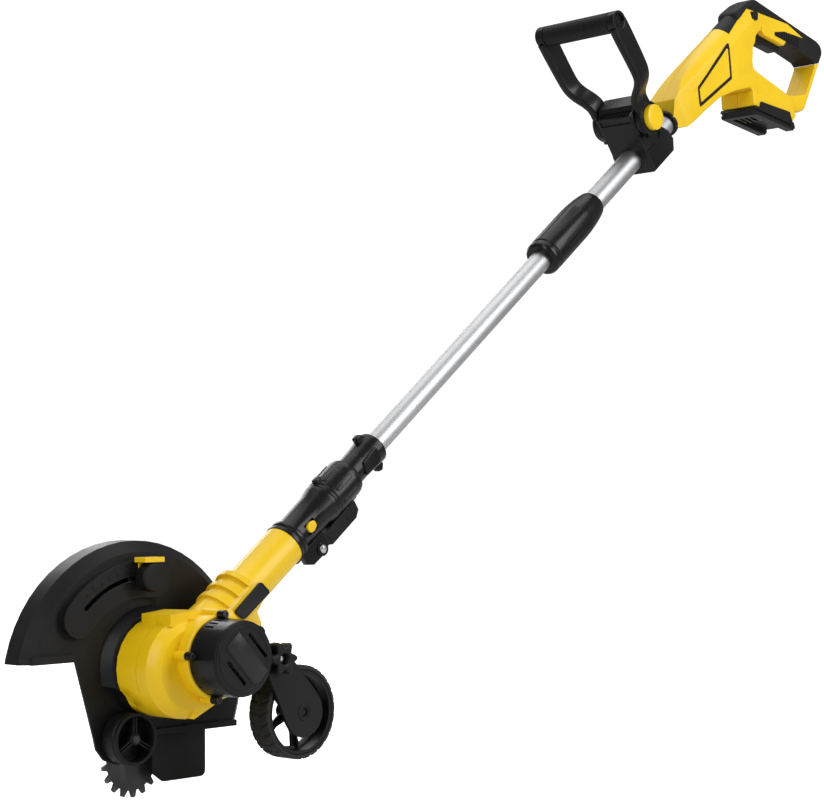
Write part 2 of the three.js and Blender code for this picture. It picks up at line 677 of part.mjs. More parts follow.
function camLever() {
  const knuckle = slab([
    ...arcPoints(LEVER_PIVOT.s, LEVER_PIVOT.n, 8, 60, 330, 8), [204, -36], [208, -26], [204, -20],
  ], -8.6, 8.6);
  const paddle = slab([
    [201.5, -15], [201.5, -33], [206, -36], [250, -36], [258, -31], [259, -20], [256, -15],
  ], -13, 13);
  const hollow = rod(23.4, 160, 280, 24);
  const pinHole = cylinder(3.3, -20, 20, LEVER_PIVOT.s, LEVER_PIVOT.n, 16);
  return cut(join(knuckle, paddle), hollow, pinHole);
}

function leverPin() {
  return turned([
    [0, -19], [4.8, -19], [4.8, -16.4], [3, -16.2], [3, 18.5], [0, 18.5],
  ], LEVER_PIVOT.s, LEVER_PIVOT.n, 16);
}

function ringNut() {
  const body = turnedOnPole([
    [17 + GAP, COUPLING.nut], [22.3, COUPLING.nut], [22.3, 272], [20.5, COUPLING.top],
    [17 + GAP, COUPLING.top], [17 + GAP, COUPLING.nut],
  ], 28);
  const ribs = Array.from({ length: 8 }, (_, i) => {
    const rib = block(240, 266, -2.4, 2.4, 21, 23);
    rib.rotateX(THREE.MathUtils.degToRad(45 * i + 20));
    return rib;
  });
  const tab = block(234, 243, -5, 5, 20, 25.8);
  return join(body, ...ribs, tab);
}

function poleCollar() {
  const body = turnedOnPole([
    [LOWER_TUBE_R + GAP, 277], [16.4, 277], [16.8, 300], [18, 312], [18.2, 325], [17.4, 327],
    [LOWER_TUBE_R + GAP, 327], [LOWER_TUBE_R + GAP, 277],
  ], 24);
  const upperLug = block(311, 321, -4, 4, 14, 24);
  const lowerLug = block(315, 326, -4, 4, -27, -14);
  const bore = rod(LOWER_TUBE_R + GAP, 270, 340, 24);
  return cut(join(body, upperLug, lowerLug), bore);
}

function releaseButton() {
  return block(182, 196.2, -20.6, -15.8, -4.2, 7.2);
}

function motorLead() {
  const route = new THREE.LineCurve3(new THREE.Vector3(118, 0, 0), new THREE.Vector3(690, 0, 0));
  const section = new THREE.Shape().absarc(0, 0, 3.5, 0, 2 * Math.PI);
  return closed(new THREE.ExtrudeGeometry(section, { extrudePath: route, steps: 2, curveSegments: 5 }));
}

function buildLowerPole() {
  add(pole, 'lower_tube', tube(LOWER_TUBE_R, LOWER_TUBE_R - TUBE_WALL, 112, 800, 40), ALUMINIUM, 0.3, 1);
  add(pole, 'motor_lead', motorLead(), BLACK, 0.6);
  add(pole, 'coupling_body', couplingBody(), BLACK, 0.45);
  add(pole, 'ring_nut', ringNut(), BLACK, 0.45);
  add(pole, 'cam_lever', camLever(), GREY, 0.45);
  add(pole, 'lever_pin', leverPin(), STEEL, 0.3, 1);
  add(pole, 'release_button', releaseButton(), YELLOW, 0.4);
  add(pole, 'pole_collar', poleCollar(), BLACK, 0.45);
}

// ---------------------------------------------------------------- upper pole and twist lock
function twistLock() {
  const bore = LOWER_TUBE_R + GAP;
  const seat = UPPER_TUBE_R + 2.8;                     // room for the collet
  return turnedOnPole([
    [bore, 692], [19.6, 692], [22.3, 696], [22.3, 702], [21.5, 702.8], [21.5, 704], [22.4, 705],
    [22.4, 770], [21.5, 789], [19.6, 806], [17, 818], [UPPER_TUBE_R + GAP, 818], [UPPER_TUBE_R + GAP, 728],
    [seat, 726], [seat, 695], [bore, 695], [bore, 692],
  ], 28);
}

function lockCollet() {
  return tube(UPPER_TUBE_R + 2.4, LOWER_TUBE_R + GAP, 695.5, 719.7, 24);
}

function buildUpperPole() {
  add(pole, 'upper_tube', tube(UPPER_TUBE_R, LOWER_TUBE_R + GAP, 720, 1100, 40), ALUMINIUM, 0.3, 1);
  add(pole, 'lock_collet', lockCollet(), GREY, 0.6);
  add(pole, 'twist_lock', twistLock(), BLACK, 0.45);
}

// ---------------------------------------------------------------- D-handle
// An outline of [y, n] points given length along the pole from s0 to s1.
function alongPole(outline, s0, s1) {
  const geometry = new THREE.ExtrudeGeometry(shapeOf(outline), { depth: s1 - s0, bevelEnabled: false });
  geometry.rotateY(Math.PI / 2);
  geometry.rotateX(Math.PI / 2);
  geometry.translate(s0, 0, 0);
  return closed(geometry);
}

function handleMount() {
  const half = D_ARM.inner - GAP;
  const body = slab([
    [922, -21], [976, -21], [983, -8], [980, 6], [970, 18], [967, 44], [963, 60], [956, 73], [935, 69],
    [930, 62], [922, 60],
  ], -half, half);
  const bore = rod(UPPER_TUBE_R + GAP, 900, 1000, 24);
  const boltHole = cylinder(4.3, -40, 40, D_PIVOT.s, D_PIVOT.n, 20);
  return cut(body, bore, boltHole);
}

// One side arm as a strip that steps outwards, seen along the pole.
function handleArm(side) {
  const { inner, outer } = D_ARM;
  const path = [
    [inner, 20], [outer, 20], [outer, 72], [43, 80], [53, 90], [59, 101], [61, 114], [61, 177], [51, 177],
    [51, 116], [49.5, 105], [45, 96], [36, 88], [inner, 79],
  ];
  return alongPole(path.map(([y, n]) => [side * y, n]), D_PIVOT.s - 14, D_PIVOT.s + 14);
}

function lean(geometry) {
  return turnedBy(geometry, D_LEAN, D_PIVOT.s, D_PIVOT.n);
}

function handleFrame() {
  const { inner, outer } = D_ARM;
  const { s, n } = D_PIVOT;
  const top = n + D_BAR;
  const arms = [-1, 1].map(handleArm);
  const bosses = [[-outer, -inner], [inner, outer]].map(([y0, y1]) => cylinder(21.5, y0, y1, s, n, 28));
  const bar = cylinder(9, -55, 55, s, top, 20);
  const ends = [[-61.6, -50], [50, 61.6]].map(([y0, y1]) => cylinder(13, y0, y1, s, top, 28));
  const hollowEnds = [[-63, -56], [56, 63]].map(([y0, y1]) => cylinder(9.5, y0, y1, s, top, 20));
  const bolt = cylinder(4.3, -60, 60, s, n, 20);
  return lean(cut(join(...arms, ...bosses, bar, ...ends), ...hollowEnds, bolt));
}

function handleSleeve() {
  return lean(ring(13, 9.3, -49.7, 49.7, D_PIVOT.s, D_PIVOT.n + D_BAR, 28));
}

function handleKnob() {
  const seat = D_ARM.outer + GAP;
  return turned([
    [0, -46.5], [14.5, -46.5], [16, -45], [16, -seat], [4, -seat], [4, 40], [0, 40],
  ], D_PIVOT.s, D_PIVOT.n, 24);
}

function buildDHandle() {
  add(pole, 'd_handle_mount', handleMount(), BLACK, 0.5);
  add(pole, 'd_handle_frame', handleFrame(), BLACK, 0.5);
  add(pole, 'd_handle_sleeve', handleSleeve(), RUBBER, 0.75);
  add(pole, 'd_handle_knob', handleKnob(), YELLOW, 0.4);
}

// ---------------------------------------------------------------- rear handle
// The grip and the battery dock both lie at 45 degrees to the pole: u runs down them, w points away below.
const SLANT = Math.SQRT1_2;
const onGrip = (u, w) => [1262 + SLANT * (u - w), -2 - SLANT * (u + w)];
const onDock = (u, w) => [1171.4 + SLANT * (u - w), -68.6 - SLANT * (u + w)];
const BODY_HALF = 24;
const LOOP_HALF = 17;
const DOCK_HALF = 28.5;
const PLATFORM_HALF = 26.2;                          // yellow block between the dock's cheeks
const LOCK_BUTTON = { s: 1255.5, n: 22, r: 6 };

const BODY_OUTLINE = [
  [1012, 6], [1026, 25], [1063, 35], [1132, 41], [1186, 43], [1232, 43.5], [1262, 41], [1240, 0],
  [1212, -22], [1206, -32], [1262, -108], [1256, -126], onDock(93.3, 0), onDock(0, 0), [1188, -50],
  [1150, -34], [1114, -23], [1070, -19], [1028, -17], [1012, -8],
];
const LOOP_OUTLINE = [
  [1230, 43.5], [1262, 41], [1282, 36], [1384, -85], [1390, -97], [1385, -108], [1362, -117], [1292, -146],
  [1280, -142], [1240, -112], [1200, -40], [1200, 0],
];
const HAND_HOLE = [
  [1224, -7], onGrip(0, 0), onGrip(86, 0), [1352, -98], [1356, -109], [1306, -129], [1259, -104],
  [1205, -31], [1211, -21],
];
const COVER_OUTLINE = [
  [1191, 60], [1191, 30], [1253, 35.5], [1260, 30], [1329, -29], [1352, -64], [1316, -34],
  [1294, -22.5], onGrip(35, -2), onGrip(64, -2), onGrip(66, 3), [1318, -84], [1352, -106.5],
  [1372, -115], [1440, -115], [1440, 60],
];

function handleOuter() {
  const rounded = alongPole([
    [-BODY_HALF, -140], [BODY_HALF, -140], [BODY_HALF, 20], [21, 31], [13, 40], [4, 44],
    [-4, 44], [-13, 40], [-21, 31], [-BODY_HALF, 20],
  ], 1000, 1300);
  const body = common(slab(BODY_OUTLINE, -BODY_HALF, BODY_HALF), rounded);
  const loop = slab(LOOP_OUTLINE, -LOOP_HALF, LOOP_HALF);
  const platform = slab([onDock(-4, -20), onDock(0, 0), onDock(95, 0), onDock(104, -12), onDock(95, -22)],
    -PLATFORM_HALF, PLATFORM_HALF);
  const handHole = slab(HAND_HOLE, -40, 24);
  return cut(join(body, loop, platform), handHole);
}

function triggerRoom() {
  return slab([onGrip(-6, -20), onGrip(-6, 2), onGrip(70, 2), onGrip(70, -25), onGrip(10, -25)], -9, 9);
}

function handleCavity() {
  const socket = rod(UPPER_TUBE_R + GAP, 1000, 1108, 24);
  const electronics = slab([
    [1108, -12], [1108, 30], [1186, 34], [1244, 26], [1226, 4], [1200, -20], [1196, -40], [1160, -30],
  ], -20, 20);
  const dockRoom = slab([onDock(12, -28), onDock(12, -4), onDock(84, -4), onDock(84, -22)], -18, 18);
  const buttonBore = cylinder(LOCK_BUTTON.r + GAP, -40, 40, LOCK_BUTTON.s, LOCK_BUTTON.n, 20);
  return [socket, electronics, dockRoom, triggerRoom(), buttonBore];
}

function handleShell(side) {
  const far = 2000;
  const shell = cut(handleOuter(), ...handleCavity(), slab(COVER_OUTLINE, -40, 24));
  const [y0, y1] = side < 0 ? [-100, -GAP / 2] : [GAP / 2, 100];
  return common(shell, block(0, far, y0, y1, -far, far));
}

function handleCover() {
  return cut(common(handleOuter(), slab(inset(COVER_OUTLINE, GAP), -40, 24)), triggerRoom());
}

function trigger() {
  const body = slab([
    onGrip(-3, -13), onGrip(-5, -5), onGrip(3, 7), onGrip(22, 13), onGrip(58, 13), onGrip(64, 9),
    onGrip(66, -12), onGrip(20, -14),
  ], -8.6, 8.6);
  return cut(body, cylinder(2.3, -10, 10, ...onGrip(2, -8), 16));
}

function batteryDock() {
  const body = slab([
    onDock(2, GAP), onDock(0, 5), onDock(5, 12), onDock(94, 12), onDock(99, 7), onDock(95, GAP),
  ], -DOCK_HALF, DOCK_HALF);
  const cheekOutline = [onDock(12, 3), onDock(14, -8), onDock(84, -12), onDock(94, 3)];
  const cheekInner = PLATFORM_HALF + GAP;
  const cheeks = [[-DOCK_HALF, -cheekInner], [cheekInner, DOCK_HALF]].map(([y0, y1]) => slab(
    cheekOutline, y0, y1));
  const recess = slab([onDock(14, 4), onDock(14, 20), onDock(110, 20), onDock(110, 4)], -17, 17);
  const grooves = [[-31, -26], [26, 31]].map(([y0, y1]) => slab([
    onDock(-5, 4.5), onDock(-5, 8), onDock(88, 8), onDock(88, 4.5),
  ], y0, y1));
  return cut(join(body, ...cheeks), recess, ...grooves);
}

function dockTerminals() {
  const base = slab([onDock(14.4, 4.3), onDock(14.4, 7), onDock(24, 7), onDock(24, 4.3)], -14, 14);
  const bladeOutline = [onDock(20, 5), onDock(20, 10), onDock(40, 10), onDock(40, 5)];
  const blades = [-12, -4, 4, 12].map((y) => slab(bladeOutline, y - 0.8, y + 0.8));
  return join(base, ...blades);
}

function buildHandle() {
  add(pole, 'handle_shell_left', handleShell(-1), YELLOW, 0.4);
  add(pole, 'handle_shell_right', handleShell(1), YELLOW, 0.4);
  add(pole, 'handle_cover', handleCover(), BLACK, 0.6);
  add(pole, 'switch_body', slab([[1194, 4], [1220, 4], [1224, 20], [1194, 22]], -8, 8), BLACK, 0.6);
  add(pole, 'control_board', block(1116, 1176, -17, 17, 18, 20), 0x2f6b3a, 0.6);
  add(pole, 'trigger', trigger(), BLACK, 0.5);
  add(pole, 'trigger_pin', cylinder(2, -8.9, 8.9, ...onGrip(2, -8), 12), STEEL, 0.3, 1);
  add(pole, 'lock_off_button', cylinder(LOCK_BUTTON.r, -24.8, 21, LOCK_BUTTON.s, LOCK_BUTTON.n, 20),
    BLACK, 0.5);
  add(pole, 'battery_dock', batteryDock(), BLACK, 0.5);
  add(pole, 'dock_terminals', dockTerminals(), BRASS, 0.3, 1);
}

// ---------------------------------------------------------------- assembly
buildMotor();
buildHead();
buildBlade();
buildGuard();
buildRearWheel();
buildLowerPole();
buildUpperPole();
buildDHandle();
buildHandle();

// Move the grip's middle to the origin.
const grip = fromPole(new THREE.BufferGeometry().setFromPoints([new THREE.Vector3(GRIP.s, 0, GRIP.n)]));
const gripPoint = new THREE.Vector3().fromBufferAttribute(grip.attributes.position, 0);
machine.position.copy(gripPoint).negate();

export default edger;
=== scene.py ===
import json
import math

import bmesh
import bpy
from mathutils import Matrix, Vector

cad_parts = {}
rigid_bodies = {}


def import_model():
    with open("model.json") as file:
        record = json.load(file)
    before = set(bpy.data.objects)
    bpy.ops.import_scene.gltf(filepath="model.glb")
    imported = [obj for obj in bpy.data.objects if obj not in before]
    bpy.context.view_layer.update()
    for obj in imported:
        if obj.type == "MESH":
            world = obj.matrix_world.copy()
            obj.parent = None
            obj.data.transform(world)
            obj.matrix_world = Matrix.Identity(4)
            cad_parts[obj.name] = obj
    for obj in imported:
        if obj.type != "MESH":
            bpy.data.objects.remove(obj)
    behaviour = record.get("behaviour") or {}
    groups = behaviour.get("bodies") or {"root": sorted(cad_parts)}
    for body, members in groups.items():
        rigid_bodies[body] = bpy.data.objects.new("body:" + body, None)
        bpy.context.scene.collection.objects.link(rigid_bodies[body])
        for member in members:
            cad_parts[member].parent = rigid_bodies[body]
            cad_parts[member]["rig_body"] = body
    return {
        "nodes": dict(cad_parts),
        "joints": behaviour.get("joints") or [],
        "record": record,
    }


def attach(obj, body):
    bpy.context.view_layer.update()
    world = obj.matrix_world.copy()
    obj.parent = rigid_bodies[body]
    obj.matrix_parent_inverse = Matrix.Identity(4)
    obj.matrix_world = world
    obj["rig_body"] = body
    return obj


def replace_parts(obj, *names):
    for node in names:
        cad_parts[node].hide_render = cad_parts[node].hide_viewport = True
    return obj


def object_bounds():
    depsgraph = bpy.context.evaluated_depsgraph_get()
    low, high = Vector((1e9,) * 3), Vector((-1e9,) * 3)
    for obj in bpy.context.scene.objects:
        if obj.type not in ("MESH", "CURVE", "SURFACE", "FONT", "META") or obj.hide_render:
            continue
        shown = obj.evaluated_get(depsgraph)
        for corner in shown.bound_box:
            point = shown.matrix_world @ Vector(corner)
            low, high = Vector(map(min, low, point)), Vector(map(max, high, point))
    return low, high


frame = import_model()
cad_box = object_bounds()

# ---------------------------------------------------------------- frame, in millimetres
MM = 0.001
JOINTS = {joint["name"]: joint for joint in frame["joints"]}
SLOT_OF = {part["node"]: part["material_slot"] for part in frame["record"]["subparts"]}
ALONG = Vector(JOINTS["pole_slide"]["axis"]).normalized()
ABOVE = Vector((-ALONG.z, 0, ALONG.x))
GRIP_S, GRIP_N = 1316, -36                 # the row origin, along and above the pole
MOTOR = Vector(JOINTS["rotor_spin"]["pos_m"]) - Vector((0, 50 * MM, 0))
SPINDLE = (Vector(JOINTS["blade_spin"]["pos_m"]) - MOTOR) / MM
REAR_WHEEL = (Vector(JOINTS["rear_wheel_spin"]["pos_m"]) - MOTOR) / MM
FRONT_WHEEL = (Vector(JOINTS["front_wheel_spin"]["pos_m"]) - MOTOR) / MM
ARM_PIVOT = (Vector(JOINTS["arm_knob_turn"]["pos_m"]) - MOTOR) / MM


def on_pole(s, y, n):
    """A point along, across and above the pole's axis."""
    return ALONG * ((s - GRIP_S) * MM) + ABOVE * ((n - GRIP_N) * MM) + Vector((0, y * MM, 0))


def on_head(x, y, z):
    """A point from the middle of the motor cap's face."""
    return MOTOR + Vector((x, y, z)) * MM


def spun(x, z, degrees, out=0):
    """Places points in the head's frame, turned about (x, z) and moved out from it."""
    cos, sin = math.cos(math.radians(degrees)), math.sin(math.radians(degrees))

    def place(u, v, w):
        return on_head(x + (out + u) * cos - w * sin, v, z + (out + u) * sin + w * cos)

    return place


def top_view(s, n, y):
    """For an outline drawn along and across the pole, given height."""
    return on_pole(s, y, n)


def end_view(y, s, n):
    """For an outline drawn across and above the pole, given length along it."""
    return on_pole(s, y, n)


def pole_coords(point):
    return point.dot(ALONG) / MM + GRIP_S, point.dot(ABOVE) / MM + GRIP_N


D_PIVOT = pole_coords(Vector(JOINTS["d_handle_tilt"]["pos_m"]))
LEVER_PIVOT = pole_coords(Vector(JOINTS["cam_lever_open"]["pos_m"]))


# ---------------------------------------------------------------- materials
PATCH_SCALE = 14                           # broad colour patches
SMUDGE_SCALE = 45                          # uneven roughness
EDGE_WEAR_AND_SHEEN_SCALE = 90                            # breaks in the edges' wear and painted sheen


def node_tree(name):
    material = bpy.data.materials.new(name)
    material.use_nodes = True
    nodes = material.node_tree.nodes
    return material, nodes, material.node_tree.links, nodes["Principled BSDF"]


def noise(nodes, links, scale, detail=4):
    """Noise fixed to the object."""
    coords = nodes.new("ShaderNodeTexCoord")
    texture = nodes.new("ShaderNodeTexNoise")
    texture.inputs["Scale"].default_value = scale
    texture.inputs["Detail"].default_value = detail
    links.new(coords.outputs["Object"], texture.inputs["Vector"])
    return texture.outputs["Fac"]


def ramp(nodes, links, source, low, high):
    """Turns from low to high over the middle of the source's range."""
    mixed = nodes.new("ShaderNodeValToRGB")
    mixed.color_ramp.elements[0].position = 0.3
    mixed.color_ramp.elements[1].position = 0.7
    mixed.color_ramp.elements[0].color = (*low, 1)
    mixed.color_ramp.elements[1].color = (*high, 1)
    links.new(source, mixed.inputs["Fac"])
    return mixed.outputs["Color"]


def edge_wear_and_sheen(nodes, links, colour, edge_colour, amount):
    """The colour turns towards edge_colour on sharp outer edges, broken up by noise: wear, and a painted
    sheen on edges that catch the light.
    """
    geometry = nodes.new("ShaderNodeNewGeometry")
    edge = nodes.new("ShaderNodeMapRange")
    edge.inputs["From Min"].default_value = 0.53
    edge.inputs["From Max"].default_value = 0.62
    edge.inputs["To Max"].default_value = amount
    links.new(geometry.outputs["Pointiness"], edge.inputs["Value"])
    broken = nodes.new("ShaderNodeMath")
    broken.operation = "MULTIPLY"
    links.new(edge.outputs["Result"], broken.inputs[0])
    links.new(noise(nodes, links, EDGE_WEAR_AND_SHEEN_SCALE, 3), broken.inputs[1])
    mix = nodes.new("ShaderNodeMix")
    mix.data_type = "RGBA"
    links.new(broken.outputs["Value"], mix.inputs["Factor"])
    links.new(colour, mix.inputs["A"])
    mix.inputs["B"].default_value = (*edge_colour, 1)
    return mix.outputs["Result"]


def surface(name, low, high, rough, grain, bump, edge, wear_and_sheen=0.2, metallic=0.0, coat=0.0, shine=0.5):
    """A procedural finish: broad colour patches, edges lightened by wear and a painted sheen, uneven
    roughness and a fine grain.
    """
    material, nodes, links, shader = node_tree(name)
    patches = noise(nodes, links, PATCH_SCALE, 3)
    colour = ramp(nodes, links, patches, low, high)
    links.new(edge_wear_and_sheen(nodes, links, colour, edge, wear_and_sheen), shader.inputs["Base Color"])
    spread = nodes.new("ShaderNodeMapRange")
    spread.inputs["To Min"].default_value = rough[0]
    spread.inputs["To Max"].default_value = rough[1]
    links.new(noise(nodes, links, SMUDGE_SCALE, 4), spread.inputs["Value"])
    links.new(spread.outputs["Result"], shader.inputs["Roughness"])
    fine = nodes.new("ShaderNodeBump")
    fine.inputs["Strength"].default_value = bump
    fine.inputs["Distance"].default_value = 0.0002
    links.new(noise(nodes, links, grain, 2), fine.inputs["Height"])
    rounding = nodes.new("ShaderNodeBevel")
    rounding.samples = 4
    rounding.inputs["Radius"].default_value = 0.0008
    links.new(rounding.outputs["Normal"], fine.inputs["Normal"])
    links.new(fine.outputs["Normal"], shader.inputs["Normal"])
    shader.inputs["Metallic"].default_value = metallic
    shader.inputs["Coat Weight"].default_value = coat
    shader.inputs["Coat Roughness"].default_value = 0.25
    shader.inputs["Specular IOR Level"].default_value = shine
    return material


# In every surface() below, the seventh value is the colour that sharp edges turn towards: wear, and a
# painted sheen on lit edges.
FINISH = {
    "yellow_shell": surface("shell_yellow", (0.80, 0.51, 0.003), (0.87, 0.57, 0.006),
                            (0.30, 0.44), 1600, 0.10, (0.92, 0.62, 0.05), coat=0.05, shine=0.35),
    "yellow_accent": surface("accent_yellow", (0.82, 0.53, 0.004), (0.89, 0.59, 0.007),
                             (0.24, 0.36), 1400, 0.06, (0.94, 0.66, 0.08), coat=0.1, shine=0.4),
    "black_gloss": surface("moulded_black", (0.004, 0.004, 0.0045), (0.007, 0.007, 0.0075),
                           (0.20, 0.32), 1500, 0.12, (0.03, 0.03, 0.032), coat=0.03, shine=0.22),
    "black_matte": surface("grained_black", (0.005, 0.005, 0.0055), (0.009, 0.009, 0.0095),
                           (0.34, 0.48), 1300, 0.25, (0.03, 0.03, 0.032), shine=0.2),
    "soft_grip": surface("soft_touch", (0.005, 0.005, 0.0055), (0.009, 0.009, 0.0095),
                         (0.48, 0.62), 1000, 0.35, (0.025, 0.025, 0.025), wear_and_sheen=0.3, shine=0.2),
    "tyre_rubber": surface("tyre_rubber", (0.010, 0.010, 0.010), (0.020, 0.019, 0.018),
                           (0.60, 0.80), 700, 0.5, (0.045, 0.043, 0.04), wear_and_sheen=0.4, shine=0.3),
    "tube_aluminium": surface("satin_tube", (0.45, 0.455, 0.465), (0.52, 0.525, 0.535),
                              (0.44, 0.50), 500, 0.01, (0.7, 0.7, 0.72), metallic=1.0),
    "steel": surface("plated_steel", (0.50, 0.51, 0.53), (0.62, 0.63, 0.65),
                     (0.22, 0.38), 900, 0.10, (0.8, 0.8, 0.82), metallic=1.0),
    # The brass is darkened far below its own colour: painted shade, for terminals that sit in shadow inside
    # the dock.
    "terminal_brass": surface("terminal_brass", (0.06, 0.046, 0.026), (0.09, 0.07, 0.04),
                              (0.25, 0.40), 900, 0.10, (0.45, 0.36, 0.2), metallic=1.0),
    "board_green": surface("board_lacquer", (0.03, 0.17, 0.07), (0.05, 0.25, 0.10),
                           (0.25, 0.45), 900, 0.15, (0.2, 0.3, 0.2)),
}
GLOSS_LABEL = surface("blank_label", (0.006, 0.006, 0.007), (0.009, 0.009, 0.010),
                      (0.26, 0.36), 1500, 0.04, (0.03, 0.03, 0.03), coat=0.1, shine=0.3)
DARK_STEEL = surface("oiled_blade", (0.035, 0.035, 0.037), (0.075, 0.075, 0.08),
                     (0.36, 0.52), 800, 0.2, (0.45, 0.45, 0.47), wear_and_sheen=0.9, metallic=0.85)


# ---------------------------------------------------------------- outlines
def rounded(points, radius, closed=True, steps=5):
    """The outline with each corner turned into an arc of about that radius."""
    made = []
    count = len(points)
    for i, corner in enumerate(points):
        if not closed and i in (0, count - 1):
            made.append(Vector(corner))
            continue
        here = Vector(corner)
        before = Vector(points[i - 1]) - here
        after = Vector(points[(i + 1) % count]) - here
        turn = math.pi - before.angle(after, math.pi)
        if turn < 0.03:
            made.append(here)
            continue
        reach = min(radius * math.tan(turn / 2), before.length * 0.48, after.length * 0.48)
        first = here + before.normalized() * reach
        last = here + after.normalized() * reach
        for step in range(steps + 1):
            t = step / steps
            made.append(first * (1 - t) ** 2 + here * 2 * t * (1 - t) + last * t ** 2)
    return made


def signed_area(points):
    pairs = zip(points, points[1:] + points[:1])
    return sum(a[0] * b[1] - b[0] * a[1] for a, b in pairs) / 2


def inset(points, distance):
    """The closed outline moved inwards, or outwards if distance is negative."""
    sign = 1 if signed_area(points) > 0 else -1
    made = []
    for i, here in enumerate(points):
        here = Vector(here)
        back = (here - Vector(points[i - 1])).normalized()
        front = (Vector(points[(i + 1) % len(points)]) - here).normalized()
        side_a = Vector((-back.y, back.x)) * sign
        side_b = Vector((-front.y, front.x)) * sign
        made.append(here + (side_a + side_b) * (distance / max(0.4, 1 + side_a.dot(side_b))))
    return made


def circle(x, z, radius, steps):
    angles = [2 * math.pi * i / steps for i in range(steps)]
    return [Vector((x + radius * math.cos(a), z + radius * math.sin(a))) for a in angles]


def smooth_line(points, rounds=3):
    """Corner cutting that keeps the two ends."""
    line = [Vector(p) for p in points]
    for _ in range(rounds):
        cut = [line[0]]
        for a, b in zip(line, line[1:]):
            cut += [a * 0.75 + b * 0.25, a * 0.25 + b * 0.75]
        line = cut + [line[-1]]
    return line


# ---------------------------------------------------------------- meshes
def new_object(name, bm, sharp=32):
    bmesh.ops.remove_doubles(bm, verts=bm.verts, dist=1e-6)
    bmesh.ops.recalc_face_normals(bm, faces=bm.faces)
    mesh = bpy.data.meshes.new(name)
    bm.to_mesh(mesh)
    bm.free()
    obj = bpy.data.objects.new(name, mesh)
    bpy.context.scene.collection.objects.link(obj)
    shade(obj, sharp)
    return obj


def shade(obj, sharp=32):
    obj.data.polygons.foreach_set("use_smooth", [True] * len(obj.data.polygons))
    obj.data.set_sharp_from_angle(angle=math.radians(sharp))


def edge_rings(y0, y1, edge, steps):
    """(inset, y) pairs that round both rims of a slab."""
    low = [(edge * (1 - math.sin(a)), y0 + edge * (1 - math.cos(a)))
           for a in (math.pi / 2 * i / steps for i in range(steps + 1))]
    return low + [(gap, y0 + y1 - y) for gap, y in reversed(low)]


def slab(name, outline, y0, y1, place, edge=1.0, holes=(), steps=3):
    """An outline given thickness, with rounded rims; the mouths of its holes are rounded too."""
    bm = bmesh.new()
    rims = [[], []]
    for loop, sign in [(outline, 1)] + [(hole, -1) for hole in holes]:
        rows = [[bm.verts.new(place(p[0], y, p[1])) for p in inset(loop, sign * gap)]
                for gap, y in edge_rings(y0, y1, edge, steps)]
        for low, high in zip(rows, rows[1:]):
            for i in range(len(low)):
                bm.faces.new((low[i - 1], low[i], high[i], high[i - 1]))
        rims[0].append(rows[0])
        rims[1].append(rows[-1])
    for rim in rims:
        if holes:
            edges = [bm.edges.get((row[i - 1], row[i])) for row in rim for i in range(len(row))]
            bmesh.ops.triangle_fill(bm, use_beauty=True, edges=edges)
        else:
            bm.faces.new(rim[0])
    return new_object(name, bm)


def lathe(name, profile, centre, axis, side, segments):
    """Turns (radius, distance) about axis; a closed profile makes a ring."""
    bm = bmesh.new()
    other = axis.cross(side)
    rows = []
    for radius, distance in profile:
        base = centre + axis * (distance * MM)
        if radius < 1e-6:
            rows.append([bm.verts.new(base)])
            continue
        angles = [2 * math.pi * i / segments for i in range(segments)]
        ring = [base + (side * math.cos(a) + other * math.sin(a)) * (radius * MM) for a in angles]
        rows.append([bm.verts.new(point) for point in ring])
    for low, high in zip(rows, rows[1:]):
        for i in range(segments):
            corners = [low[i - 1] if len(low) > 1 else low[0], low[i] if len(low) > 1 else low[0],
                       high[i] if len(high) > 1 else high[0], high[i - 1] if len(high) > 1 else high[0]]
            unique = list(dict.fromkeys(corners))
            if len(unique) > 2:
                bm.faces.new(unique)
    return new_object(name, bm)


ACROSS = Vector((0, 1, 0))
SIDE = Vector((1, 0, 0))
UP = Vector((0, 0, 1))


def across(name, profile, x, z, segments=72, soft=0.8, place=on_head):
    """A turned piece whose axis runs across the machine, with softened corners."""
    line = [(p[0], p[1]) for p in rounded(profile, soft, closed=False, steps=3)]
    return lathe(name, line, place(x, 0, z), ACROSS, SIDE, segments)


def about_pole(name, profile, segments, soft=0.8):
    """A turned piece on the pole's axis, with softened corners."""
    line = [(p[0], p[1]) for p in rounded(profile, soft, closed=False, steps=3)]
    return lathe(name, line, on_pole(0, 0, 0), ALONG, ABOVE, segments)


def strip(name, path, width, thickness, place, edge):
    """A rounded bar swept along a path in one plane; its width follows the path's share."""
    bm = bmesh.new()
    rows = []
    for i, here in enumerate(path):
        share = i / (len(path) - 1)
        tangent = (path[min(i + 1, len(path) - 1)] - path[max(i - 1, 0)]).normalized()
        normal = Vector((-tangent.y, tangent.x))
        half_w, half_t = width(share) / 2, thickness / 2
        section = rounded([(-half_w, -half_t), (half_w, -half_t), (half_w, half_t), (-half_w, half_t)],
                          min(edge, half_t * 0.95), steps=4)
        rows.append([bm.verts.new(place(p[0], here + normal * p[1])) for p in section])
    for low, high in zip(rows, rows[1:]):
        for i in range(len(low)):
            bm.faces.new((low[i - 1], low[i], high[i], high[i - 1]))
    bm.faces.new(rows[0])
    bm.faces.new(rows[-1])
    return new_object(name, bm, 40)


def box(name, lo, hi, place, edge):
    outline = rounded([(lo[0], lo[2]), (hi[0], lo[2]), (hi[0], hi[2]), (lo[0], hi[2])], edge * 1.5, steps=3)
    return slab(name, outline, lo[1], hi[1], place, edge, steps=2)


